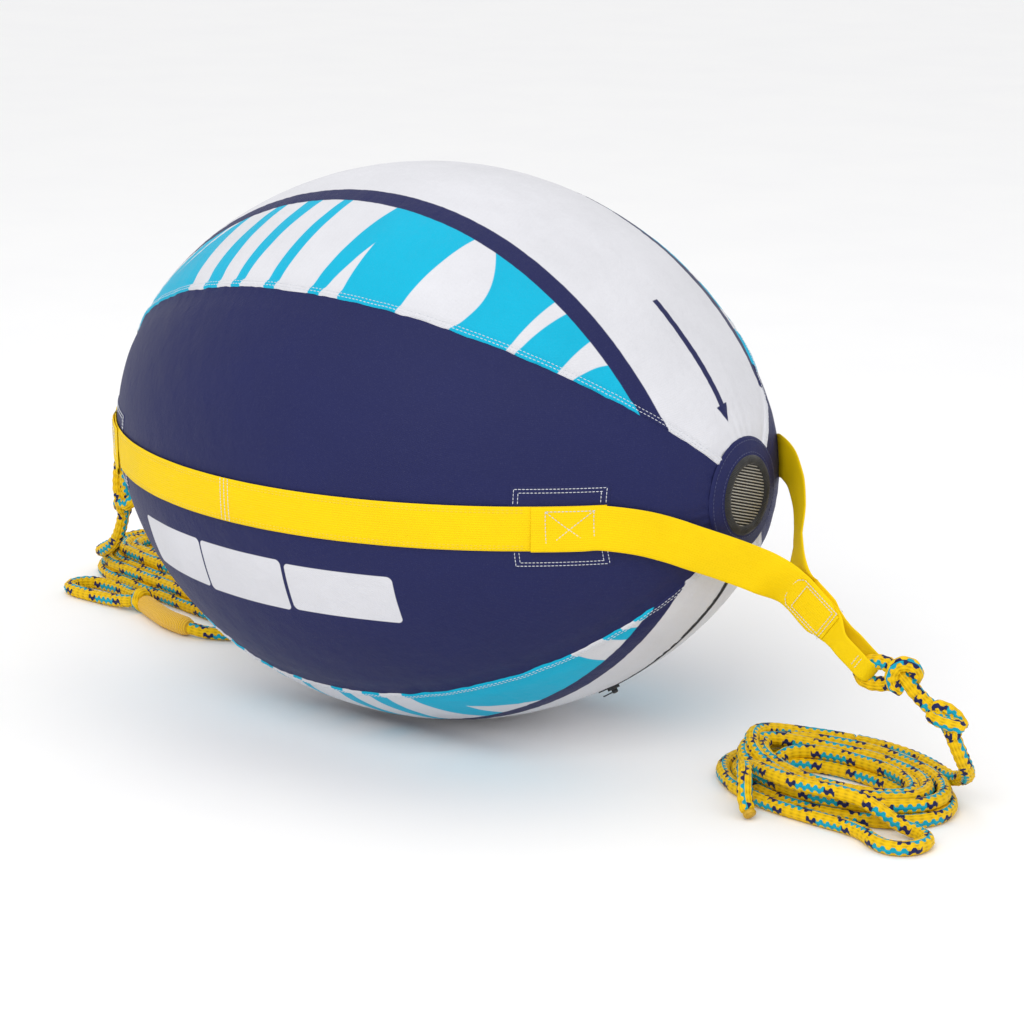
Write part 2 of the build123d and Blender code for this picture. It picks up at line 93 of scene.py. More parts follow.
class Value:
    """A number on a shader socket, whose arithmetic adds Math nodes."""

    def __init__(self, tree: "ShaderTree", socket: bpy.types.NodeSocket) -> None:
        """Wraps a socket of a tree."""
        self.tree = tree
        self.socket = socket

    def __add__(self, other: "Value | float") -> "Value":
        """Adds."""
        return self.tree.maths("ADD", self, other)

    __radd__ = __add__

    def __sub__(self, other: "Value | float") -> "Value":
        """Subtracts."""
        return self.tree.maths("SUBTRACT", self, other)

    def __rsub__(self, other: float) -> "Value":
        """Subtracts from a plain number."""
        return self.tree.maths("SUBTRACT", other, self)

    def __mul__(self, other: "Value | float") -> "Value":
        """Multiplies."""
        return self.tree.maths("MULTIPLY", self, other)

    __rmul__ = __mul__

    def __truediv__(self, other: "Value | float") -> "Value":
        """Divides."""
        return self.tree.maths("DIVIDE", self, other)

    def __abs__(self) -> "Value":
        """The size without the sign."""
        return self.tree.maths("ABSOLUTE", self)

    def wave(self) -> "Value":
        """The sine."""
        return self.tree.maths("SINE", self)

    def part(self) -> "Value":
        """What is left after the whole number is taken off."""
        return self.tree.maths("FRACT", self)

    def whole(self) -> "Value":
        """The whole number below."""
        return self.tree.maths("FLOOR", self)

    def most(self, other: "Value | float") -> "Value":
        """The larger of two."""
        return self.tree.maths("MAXIMUM", self, other)

    def above(self, edge: float, blur: float) -> "Value":
        """A mask that rises from 0 to 1 across an edge, as wide as the blur."""
        return self.tree.maths("MULTIPLY_ADD", self, 1 / blur, 0.5 - edge / blur, clamp=True)

    def below(self, edge: float, blur: float) -> "Value":
        """A mask that falls from 1 to 0 across an edge, as wide as the blur."""
        return self.tree.maths("MULTIPLY_ADD", self, -1 / blur, 0.5 + edge / blur, clamp=True)

    def within(self, low: float, high: float, blur: float) -> "Value":
        """A mask that is 1 between two edges, each as wide as the blur."""
        return self.above(low, blur) * self.below(high, blur)


class ShaderTree:
    """A material's nodes, made through one method."""

    def __init__(self, name: str) -> None:
        """Starts an empty material of that name."""
        self.material = bpy.data.materials.new(name)
        self.material.use_nodes = True
        self.nodes = self.material.node_tree.nodes
        self.links = self.material.node_tree.links
        self.nodes.clear()

    def node(self, kind: str, settings: dict, inputs: dict) -> bpy.types.Node:
        """Makes a node.

        Args:
            kind: The node's type.
            settings: Its properties, and a ramp's stops under "stops", which are set first.
            inputs: Its sockets' values or links, by name or number.

        Returns:
            The node.
        """
        made = self.nodes.new("ShaderNode" + kind)
        for key, value in settings.items():
            if key != "stops":
                setattr(made, key, value)
        for number, (place, colour) in enumerate(settings.get("stops", ())):
            elements = made.color_ramp.elements
            stop = elements[number] if number < len(elements) else elements.new(place)
            stop.position = place
            stop.color = colour
        for key, value in inputs.items():
            if isinstance(value, Value):
                self.links.new(value.socket, made.inputs[key])
            else:
                made.inputs[key].default_value = value
        return made

    def maths(self, operation: str, *terms: "Value | float", clamp: bool = False) -> Value:
        """Makes a Math node.

        Args:
            operation: What it works out.
            terms: Its values in order.
            clamp: Whether the result stays from 0 to 1.

        Returns:
            The result.
        """
        settings = {"operation": operation, "use_clamp": clamp}
        made = self.node("Math", settings, dict(enumerate(terms)))
        return Value(self, made.outputs[0])

    def mix(self, share: "Value | float", first: "Value | Colour", second: "Value | Colour") -> Value:
        """Mixes two colours, by the second one's share."""
        made = self.node("Mix", {"data_type": "RGBA"}, {0: share, 6: first, 7: second})
        return Value(self, made.outputs[2])

    def shade(self, colour: "Value | Colour", amount: "Value | float") -> Value:
        """Multiplies a colour by a grey.

        Args:
            colour: The colour.
            amount: The grey, where 1 leaves the colour as it is.

        Returns:
            The darker or lighter colour.
        """
        grey = self.node("CombineColor", {}, {0: amount, 1: amount, 2: amount}).outputs[0]
        settings = {"data_type": "RGBA", "blend_type": "MULTIPLY"}
        made = self.node("Mix", settings, {0: 1.0, 6: colour, 7: Value(self, grey)})
        return Value(self, made.outputs[2])

    def laid(self, layer: str) -> tuple[Value, Value]:
        """The two numbers of a piece's own layer of places.

        Args:
            layer: The layer's name.

        Returns:
            The first and the second number.
        """
        made = self.node("UVMap", {"uv_map": layer}, {})
        split = self.node("SeparateXYZ", {}, {0: Value(self, made.outputs[0])})
        return Value(self, split.outputs[0]), Value(self, split.outputs[1])

    def spot(self) -> Value:
        """The place on the object, in metres."""
        return Value(self, self.node("TexCoord", {}, {}).outputs["Object"])

    def spread(self, scale: float, detail: float = 2.0, rough: float = 0.5) -> Value:
        """Soft noise over the object, with so many lumps to a metre and its finer layers."""
        inputs = {"Vector": self.spot(), "Scale": scale, "Detail": detail, "Roughness": rough}
        return Value(self, self.node("TexNoise", {}, inputs).outputs[0])

    def bump(self, height: Value, depth: float, strength: float = 1.0, over: Optional[Value] = None) -> Value:
        """Turns a height into a normal.

        Args:
            height: The height, from 0 to 1.
            depth: How deep 1 is, in metres.
            strength: How much of it shows.
            over: A normal that it lies on.

        Returns:
            The normal.
        """
        inputs = {"Height": height, "Distance": depth, "Strength": strength}
        if over is not None:
            inputs["Normal"] = over
        return Value(self, self.node("Bump", {}, inputs).outputs[0])

    def finish(
        self, colour: "Value | Colour", rough: "Value | float", normal: Optional[Value] = None,
        **extra: "Value | float"
    ) -> bpy.types.Material:
        """Closes the tree with its shader.

        Args:
            colour: The base colour.
            rough: The roughness.
            normal: The normal.
            extra: Other sockets of the shader, with underscores for spaces.

        Returns:
            The material.
        """
        inputs = {"Base Color": colour, "Roughness": rough}
        if normal is not None:
            inputs["Normal"] = normal
        inputs.update({key.replace("_", " "): value for key, value in extra.items()})
        shader = self.node("BsdfPrincipled", {}, inputs)
        self.node("OutputMaterial", {}, {0: Value(self, shader.outputs[0])})
        return self.material


# ---------------------------------------------------------------- mesh kit


def deselect_all() -> None:
    """Leaves object mode with nothing selected."""
    if bpy.context.object is not None and bpy.context.object.mode != "OBJECT":
        bpy.ops.object.mode_set(mode="OBJECT")
    bpy.ops.object.select_all(action="DESELECT")


def take(piece: Piece) -> None:
    """Selects one piece and makes it the active one."""
    deselect_all()
    piece.select_set(True)
    bpy.context.view_layer.objects.active = piece


def edit_all(piece: Piece, *steps: Callable[[], object]) -> None:
    """Runs edit-mode steps on a whole mesh.

    Args:
        piece: The piece.
        steps: The operators to call, in order.
    """
    take(piece)
    bpy.ops.object.mode_set(mode="EDIT")
    bpy.ops.mesh.select_all(action="SELECT")
    for step in steps:
        step()
    bpy.ops.object.mode_set(mode="OBJECT")


def close_seams(piece: Piece, gap: float = 1e-5) -> None:
    """Merges the points that meet and turns every face outwards."""
    edit_all(
        piece,
        lambda: bpy.ops.mesh.remove_doubles(threshold=gap),
        lambda: bpy.ops.mesh.normals_make_consistent(inside=False),
    )


def soften(piece: Piece, degrees: float = 40.0) -> None:
    """Shades a piece smooth, apart from its sharp edges."""
    take(piece)
    bpy.ops.object.shade_smooth_by_angle(angle=math.radians(degrees))


def eased(share: float) -> float:
    """Eases a share in and out between 0 and 1."""
    held = min(1.0, max(0.0, share))
    return held * held * (3 - 2 * held)


def solid(name: str, points: np.ndarray, faces: Sequence[Sequence[int]]) -> Piece:
    """Makes a piece from its points and faces.

    Args:
        name: The piece's name.
        points: Its points, one a row.
        faces: Each face's points, by number.

    Returns:
        The piece.
    """
    mesh = bpy.data.meshes.new(name)
    mesh.from_pydata(
        [tuple(map(float, point)) for point in points], [], [tuple(map(int, face)) for face in faces]
    )
    mesh.update()
    piece = bpy.data.objects.new(name, mesh)
    bpy.context.scene.collection.objects.link(piece)
    return piece


def lay_prints(piece: Piece, layer: str, pairs: np.ndarray) -> None:
    """Writes a layer of places.

    Args:
        piece: The piece.
        layer: The layer's name.
        pairs: Two numbers for each point of the mesh, or for each corner of its faces.
    """
    mesh = piece.data
    made = mesh.uv_layers.get(layer) or mesh.uv_layers.new(name=layer)
    corners = np.zeros(len(mesh.loops), np.int32)
    mesh.loops.foreach_get("vertex_index", corners)
    rows = pairs if len(pairs) == len(corners) and len(pairs) != len(mesh.vertices) else pairs[corners]
    made.data.foreach_set("uv", np.ascontiguousarray(rows, np.float32).ravel())


def draped(
    name: str, columns: int, rows: int, place: Place, prints: Optional[dict[str, Print]] = None,
    centre: Vector = Vector((0, 0, 0))
) -> Piece:
    """Drapes a grid over a shape.

    Args:
        name: The piece's name.
        columns: How many faces there are along it.
        rows: How many faces there are across it.
        place: Where a share along and a share across lies.
        prints: Layers of places, each from the same two shares.
        centre: A point that the faces look away from.

    Returns:
        The piece.
    """
    deselect_all()
    bpy.ops.mesh.primitive_grid_add(x_subdivisions=columns, y_subdivisions=rows, size=2.0)
    piece = bpy.context.object
    piece.name = piece.data.name = name
    flat = np.zeros(len(piece.data.vertices) * 3, np.float32)
    piece.data.vertices.foreach_get("co", flat)
    shares = (flat.reshape(-1, 3)[:, :2] + 1) / 2
    points = np.array([place(float(u), float(v)) for u, v in shares], np.float32)
    piece.data.vertices.foreach_set("co", points.ravel())
    for layer in list(piece.data.uv_layers):
        piece.data.uv_layers.remove(layer)
    for layer, lay in (prints or {}).items():
        lay_prints(piece, layer, np.array([lay(float(u), float(v)) for u, v in shares]))
    piece.data.update()
    outward = sum((face.center - centre).dot(face.normal) * face.area for face in piece.data.polygons)
    if outward < 0:
        edit_all(piece, lambda: bpy.ops.mesh.flip_normals())
    return piece


def skinned(
    name: str, rings: np.ndarray, lengths: np.ndarray, rounds: np.ndarray, layer: str = "along"
) -> Piece:
    """Makes a closed skin over a row of rings.

    Args:
        name: The piece's name.
        rings: The rings' points, of shape rings, points round, 3.
        lengths: How far along each ring lies.
        rounds: How far round each point of a ring lies, with one more value for the way back.
        layer: The name of the layer that keeps both.

    Returns:
        The piece, with both ends closed.
    """
    count, sides = rings.shape[:2]
    points = np.concatenate([rings.reshape(-1, 3), rings[0].mean(0)[None], rings[-1].mean(0)[None]])
    faces: list[tuple[int, ...]] = []
    corners: list[Pair] = []
    for ring in range(count - 1):
        for side in range(sides):
            after = (side + 1) % sides
            low, high = ring * sides, (ring + 1) * sides
            faces.append((low + side, low + after, high + after, high + side))
            here, there = lengths[ring], lengths[ring + 1]
            corners += [
                (here, rounds[side]), (here, rounds[side + 1]), (there, rounds[side + 1]),
                (there, rounds[side])
            ]
    for hub, ring, flip in ((count * sides, 0, True), (count * sides + 1, count - 1, False)):
        for side in range(sides):
            after = (side + 1) % sides
            rim = (ring * sides + side, ring * sides + after)
            values = [
                (lengths[ring], rounds[side]), (lengths[ring], rounds[side + 1]),
                (lengths[ring], rounds[side])
            ]
            faces.append((rim[1], rim[0], hub) if flip else (rim[0], rim[1], hub))
            corners += [values[1], values[0], values[2]] if flip else values
    piece = solid(name, points, faces)
    lay_prints(piece, layer, np.array(corners))
    volume = sum(face.center.dot(face.normal) * face.area for face in piece.data.polygons)
    if volume < 0:
        edit_all(piece, lambda: bpy.ops.mesh.flip_normals())
    return piece


def smooth_route(route: Sequence[Sequence[float]], steps: int) -> list[Vector]:
    """Reads fine points from the smooth line that a route steers.

    Args:
        route: The route's points, in metres.
        steps: How many points there are for each of the route's.

    Returns:
        The fine points.
    """
    curve = bpy.data.curves.new("route", "CURVE")
    curve.dimensions = "3D"
    curve.resolution_u = steps
    spline = curve.splines.new("NURBS")
    spline.points.add(len(route) - 1)
    for point, (x, y, z) in zip(spline.points, route):
        point.co = (x, y, z, 1.0)
    spline.order_u = 3
    spline.use_endpoint_u = True
    holder = bpy.data.objects.new("route", curve)
    mesh = bpy.data.meshes.new_from_object(holder)
    points = [vertex.co.copy() for vertex in mesh.vertices]
    bpy.data.objects.remove(holder)
    bpy.data.curves.remove(curve)
    bpy.data.meshes.remove(mesh)
    return points


def reach(points: Sequence[Vector]) -> np.ndarray:
    """How far along a line each of its points lies."""
    steps = [0.0] + [(b - a).length for a, b in zip(points, points[1:])]
    return np.cumsum(steps)


def even(points: Sequence[Vector], gap: float) -> list[Vector]:
    """Spaces a line's points evenly.

    Args:
        points: The line.
        gap: About how far apart the new points are.

    Returns:
        The new points.
    """
    runs = reach(points)
    count = max(2, int(round(runs[-1] / gap)) + 1)
    wanted = np.linspace(0, runs[-1], count)
    table = np.array(points)
    columns = [np.interp(wanted, runs, table[:, axis]) for axis in range(3)]
    return [Vector(values) for values in zip(*columns)]


def tangents(points: Sequence[Vector]) -> list[Vector]:
    """The direction of a line at each of its points."""
    last = len(points) - 1
    return [(points[min(i + 1, last)] - points[max(i - 1, 0)]).normalized() for i in range(last + 1)]


def carried(points: Sequence[Vector], start: Vector) -> list[Vector]:
    """Carries a side direction along a line without twist.

    Args:
        points: The line.
        start: The side direction to start with.

    Returns:
        A side direction at each point.
    """
    sides: list[Vector] = []
    side = start.copy()
    for along in tangents(points):
        side = (side - along * side.dot(along)).normalized()
        sides.append(side)
    return sides


def stitched(name: str, places: Sequence[Stitch], length: float, width: float, height: float) -> Piece:
    """Copies one stitch of thread to many places.

    Args:
        name: The piece's name.
        places: Each stitch's middle, its direction and the way out of the cloth.
        length: A stitch's length.
        width: A stitch's width.
        height: How proud it stands.

    Returns:
        One piece with all the stitches.
    """
    deselect_all()
    bpy.ops.mesh.primitive_uv_sphere_add(segments=6, ring_count=4, radius=0.5)
    master = bpy.context.object
    shape = np.array([vertex.co for vertex in master.data.vertices])
    faces = [list(face.vertices) for face in master.data.polygons]
    bpy.data.objects.remove(master)
    shape = shape[:, [2, 0, 1]] * np.array([length, width, 2 * height])
    points: list[np.ndarray] = []
    every: list[list[int]] = []
    for number, (middle, along, out) in enumerate(places):
        forward = (along - out * along.dot(out)).normalized()
        aside = out.cross(forward)
        turn = np.array([forward, aside, out])
        points.append(shape @ turn + np.array(middle))
        every += [[corner + number * len(shape) for corner in face] for face in faces]
    piece = solid(name, np.concatenate(points), every)
    close_seams(piece)
    soften(piece, 60)
    return piece


def stitch_line(points: Sequence[Vector], outs: Sequence[Vector], pitch: float) -> list[Stitch]:
    """Places stitches one after another along a line.

    Args:
        points: The line, with points closer than a stitch.
        outs: The way out of the cloth at each point.
        pitch: From one stitch to the next.

    Returns:
        The stitches' places.
    """
    runs = reach(points)
    ways = tangents(points)
    places: list[Stitch] = []
    for run in np.arange(pitch / 2, runs[-1], pitch):
        number = min(int(np.searchsorted(runs, run)), len(points) - 1)
        before = max(number - 1, 0)
        gap = runs[number] - runs[before] or 1.0
        share = (run - runs[before]) / gap
        places.append((points[before].lerp(points[number], share), ways[number], outs[number]))
    return places


def dress(piece: Piece, finish: bpy.types.Material, slot: str, body: str = "", *nodes: str) -> Piece:
    """Gives a piece its finish, and says what it rides on and stands for.

    Args:
        piece: The piece.
        finish: The material.
        slot: The record's slot. It is not used.
        body: The body that it rides on, unless it is blended.
        nodes: The nodes that it stands for.

    Returns:
        The piece.
    """
    piece.data.materials.clear()
    piece.data.materials.append(finish)
    if nodes:
        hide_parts(*nodes)
    if body:
        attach(piece, body)
    LOG.info("piece %s: %d faces", piece.name, len(piece.data.polygons))
    return piece


# ---------------------------------------------------------------- finishes


class Dye(Enum):
    """The colours of cloth, thread and rope, with the painted shade of the webbing's and the rope's hollows.
    """

    WHITE = dye(212, 212, 217)
    NAVY = dye(30, 34, 80)
    LIGHT_BLUE = dye(0, 172, 206)
    WEBBING_YELLOW = dye(242, 206, 0)
    # Painted shade: the webbing's yellow as it looks in shade, laid into its hollows.
    WEBBING_OCHRE = dye(214, 160, 0)
    ROPE_YELLOW = dye(240, 196, 0)
    ROPE_SHADOW = dye(176, 120, 0)
    ROPE_BLUE = dye(0, 160, 186)
    ROPE_NAVY = dye(24, 32, 84)
    DUST = dye(120, 124, 140)


@dataclass(frozen=True)
class Stroke:
    """A printed stroke across a gore, between two curves over the gore's width."""

    behind: Triple
    ahead: Triple


@dataclass(frozen=True)
class CoverFinish:
    """Coated polyester, woven fine, with its print."""

    name: str
    band: float = 0.0
    border: float = 0.0
    strokes: tuple[Stroke, ...] = ()
    arrow: bool = False
    panels: tuple[Colour, ...] = ()
    plain: Dye = Dye.NAVY
    thread_gap: float = 0.0021

    def curve(self, across: Value, terms: Triple) -> Value:
        """Where a stroke's edge runs along the gore, at a share of the way to the seam."""
        level, slope, bend = terms
        return (across * bend + slope) * across + level

    def printed(self, tree: ShaderTree, along: Value, aside: Value) -> Value:
        """The print's colour.

        Args:
            tree: The material's nodes.
            along: The place along the gore.
            aside: The place across it.

        Returns:
            The colour.
        """
        across, _ = tree.laid("gore")
        edge = 0.0012
        white = across * 0.0
        for stroke in self.strokes:
            past = (along - self.curve(across, stroke.behind)).above(0.0, edge)
            short = (along - self.curve(across, stroke.ahead)).below(0.0, edge)
            white = white.most(past * short)
        stripes = tree.mix(white, Dye.LIGHT_BLUE.value, Dye.WHITE.value)
        distance = abs(aside)
        framed = tree.mix(distance.above(self.border, edge), Dye.NAVY.value, stripes)
        band = tree.mix(distance.above(self.band, edge), Dye.WHITE.value, framed)
        if not self.arrow:
            return band
        middle = abs(aside - 0.018)
        shaft = middle.below(0.0044, edge) * along.within(0.352, 0.494, edge)
        point = (middle - (0.512 - along) * 0.48).below(0.0, edge) * along.above(0.492, edge)
        return tree.mix(shaft.most(point), band, Dye.NAVY.value)

    def panelled(self, tree: ShaderTree) -> Value:
        """Where the plain panels are printed.

        Args:
            tree: The material's nodes.

        Returns:
            The mask, with rounded corners.
        """
        split = tree.node("SeparateXYZ", {}, {0: tree.spot()})
        ahead, level = Value(tree, split.outputs[0]), Value(tree, split.outputs[2])
        mask = ahead * 0.0
        round_off = 0.006
        for rear, front, low, high in self.panels:
            across = (abs(ahead - (rear + front) / 2) - ((front - rear) / 2 - round_off)).most(0.0)
            upright = (abs(level - (low + high) / 2) - ((high - low) / 2 - round_off)).most(0.0)
            mask = mask.most((across * across + upright * upright).below(round_off**2, 0.00001))
        return mask

    def material(self) -> bpy.types.Material:
        """Makes the material.

        Returns:
            The material.
        """
        tree = ShaderTree(self.name)
        along, aside = tree.laid("run")
        pace = 2 * math.pi / self.thread_gap
        warp = (along * pace).wave()
        weft = (aside * pace).wave()
        weave = (warp * weft) * 0.5 + 0.5
        cloud = tree.spread(9.0, 4.0, 0.6)
        fleck = tree.spread(900.0, 2.0, 0.7)
        colour = self.printed(tree, along, aside) if self.strokes else self.plain.value
        if self.panels:
            colour = tree.mix(self.panelled(tree), colour, Dye.WHITE.value)
        worn = tree.mix(fleck.above(0.66, 0.2) * 0.10, colour, Dye.DUST.value)
        tone = cloud * 0.22 + 0.86 + (weave - 0.5) * 0.10 + (fleck - 0.5) * 0.16
        creases = tree.spread(34.0, 5.0, 0.55)
        soft = tree.bump(creases, 0.006, 0.35)
        normal = tree.bump(weave + fleck * 0.5, 0.0004, 0.5, soft)
        rough = cloud * 0.16 + 0.46
        return tree.finish(
            tree.shade(
                worn, tone
            ), rough, normal, Sheen_Weight=0.02, Sheen_Roughness=0.4, Specular_IOR_Level=0.16
        )


@dataclass(frozen=True)
class WebbingFinish:
    """Flat woven webbing, ribbed along with a fine herringbone, with painted shade in its hollows."""

    name: str
    colour: Dye = Dye.WEBBING_YELLOW
    shadow: Dye = Dye.WEBBING_OCHRE
    rib_gap: float = 0.0026
    pick_gap: float = 0.0019

    def material(self) -> bpy.types.Material:
        """Makes the material.

        Returns:
            The material.
        """
        tree = ShaderTree(self.name)
        along, aside = tree.laid("along")
        rib = (aside * (2 * math.pi / self.rib_gap)).wave()
        pick = (
            (along + abs((aside / (2 * self.rib_gap)).part() - 0.5) * 0.003) * (2 * math.pi / self.pick_gap)
        ).wave()
        weave = (rib * 0.5 + pick * 0.5) * 0.5 + 0.5
        fuzz = tree.spread(700.0, 2.0, 0.7)
        cloud = tree.spread(14.0, 3.0, 0.6)
        # Painted shade: the shadow colour fills the weave's hollows, and random fuzz adds a few specks of it.
        share = weave.below(0.34, 0.4) * 0.34 + fuzz.below(0.40, 0.2) * 0.10
        colour = tree.mix(share, self.colour.value, self.shadow.value)
        tone = cloud * 0.16 + 0.91
        waves = tree.bump(tree.spread(60.0, 3.0, 0.5), 0.003, 0.25)
        normal = tree.bump(weave + fuzz * 0.3, 0.0006, 0.6, waves)
        return tree.finish(tree.shade(colour, tone), cloud * 0.15 + 0.55, normal, Specular_IOR_Level=0.14)


@dataclass(frozen=True)
class RopeFinish:
    """Hollow braid of yellow film yarn with dashes of navy and light blue."""

    name: str
    diameter: float
    rows: int = 4
    repeat: float = 5.7
    dark: float = 0.8
    bright: float = 2.1
    slip: float = 0.4
    strands: int = 6
    pick: float = 0.021

    def material(self) -> bpy.types.Material:
        """Makes the material.

        Returns:
            The material.
        """
        tree = ShaderTree(self.name)
        along, around = tree.laid("along")
        left = ((along / self.pick + around * self.strands) * (2 * math.pi)).wave()
        right = ((along / self.pick - around * self.strands) * (2 * math.pi)).wave()
        braid = left * right * 0.5 + 0.5
        yarn = ((along + around * (0.5 * self.diameter)) * (2 * math.pi / 0.0012)).wave() * 0.5 + 0.5
        zigzag = (along * (2 * math.pi / (0.55 * self.diameter))).wave().above(0.0, 1.2) - 0.5
        lane = around * self.rows + zigzag * 0.24
        beat = (along / (self.repeat * self.diameter) + (around * self.rows + 0.5).whole() * self.slip).part()
        centred = abs((lane + 0.5).part() - 0.5)
        dark, bright = self.dark / self.repeat, self.bright / self.repeat
        row = centred.below(0.24, 0.05)
        edge = 0.012
        blue = row * beat.within(dark, dark + bright, edge)
        navy = row * beat.within(0.0, 2 * dark + bright, edge)
        # Painted shade: ROPE_SHADOW is mixed into the gaps between the braid's strands and between its yarns.
        braid_shaded_gold = tree.mix(braid.below(0.14, 0.28) * 0.45, Dye.ROPE_YELLOW.value, Dye.ROPE_SHADOW.value)
        yarn_shaded_ground = tree.mix(yarn.below(0.25, 0.4) * 0.22, braid_shaded_gold, Dye.ROPE_SHADOW.value)
        traced = tree.mix(blue, tree.mix(navy, yarn_shaded_ground, Dye.ROPE_NAVY.value), Dye.ROPE_BLUE.value)
        fuzz = tree.spread(500.0, 2.0, 0.7)
        # Painted shade: the tone is darker in the braid's hollows; the fuzz adds random tone.
        tone = braid * 0.22 + 0.80 + fuzz * 0.12
        normal = tree.bump(braid + yarn * 0.3, 0.0012, 0.7)
        return tree.finish(tree.shade(traced, tone), fuzz * 0.2 + 0.45, normal, Specular_IOR_Level=0.2)


@dataclass(frozen=True)
class PlainFinish:
    """A single-coloured stuff with its own grain."""

    name: str
    colour: Colour
    other: Colour
    rough: float
    grain: float
    depth: float
    metal: float = 0.0
    sheen: float = 0.0

    def material(self) -> bpy.types.Material:
        """Makes the material.

        Returns:
            The material.
        """
        tree = ShaderTree(self.name)
        grain = tree.spread(self.grain, 3.0, 0.6)
        cloud = tree.spread(self.grain / 12, 3.0, 0.6)
        colour = tree.mix(grain.above(0.55, 0.4) * 0.6 + cloud.above(0.5, 0.5) * 0.3, self.colour, self.other)
        normal = tree.bump(grain, self.depth, 0.6)
        return tree.finish(
            colour, grain * 0.2 + (self.rough - 0.1), normal, Metallic=self.metal, Sheen_Weight=self.sheen
        )


@dataclass(frozen=True)
class RibbedFinish:
    """Narrow woven tape with ribs along or across it."""

    name: str
    colour: Colour
    other: Colour
    ribs: float
    along_ribs: bool = True

    def material(self) -> bpy.types.Material:
        """Makes the material.

        Returns:
            The material.
        """
        tree = ShaderTree(self.name)
        along, aside = tree.laid("along")
        first, second = (along, aside) if self.along_ribs else (aside, along)
        rib = (first * (2 * math.pi / self.ribs)).wave() * 0.5 + 0.5
        fine = (second * (2 * math.pi / (self.ribs * 0.6))).wave() * 0.5 + 0.5
        fuzz = tree.spread(900.0, 2.0, 0.7)
        colour = tree.mix(rib * 0.6 + fuzz.above(0.6, 0.3) * 0.4, self.colour, self.other)
        normal = tree.bump(rib + fine * 0.3, 0.0007, 0.8)
        return tree.finish(colour, fuzz * 0.2 + 0.55, normal, Sheen_Weight=0.15)


# ---------------------------------------------------------------- inflated body


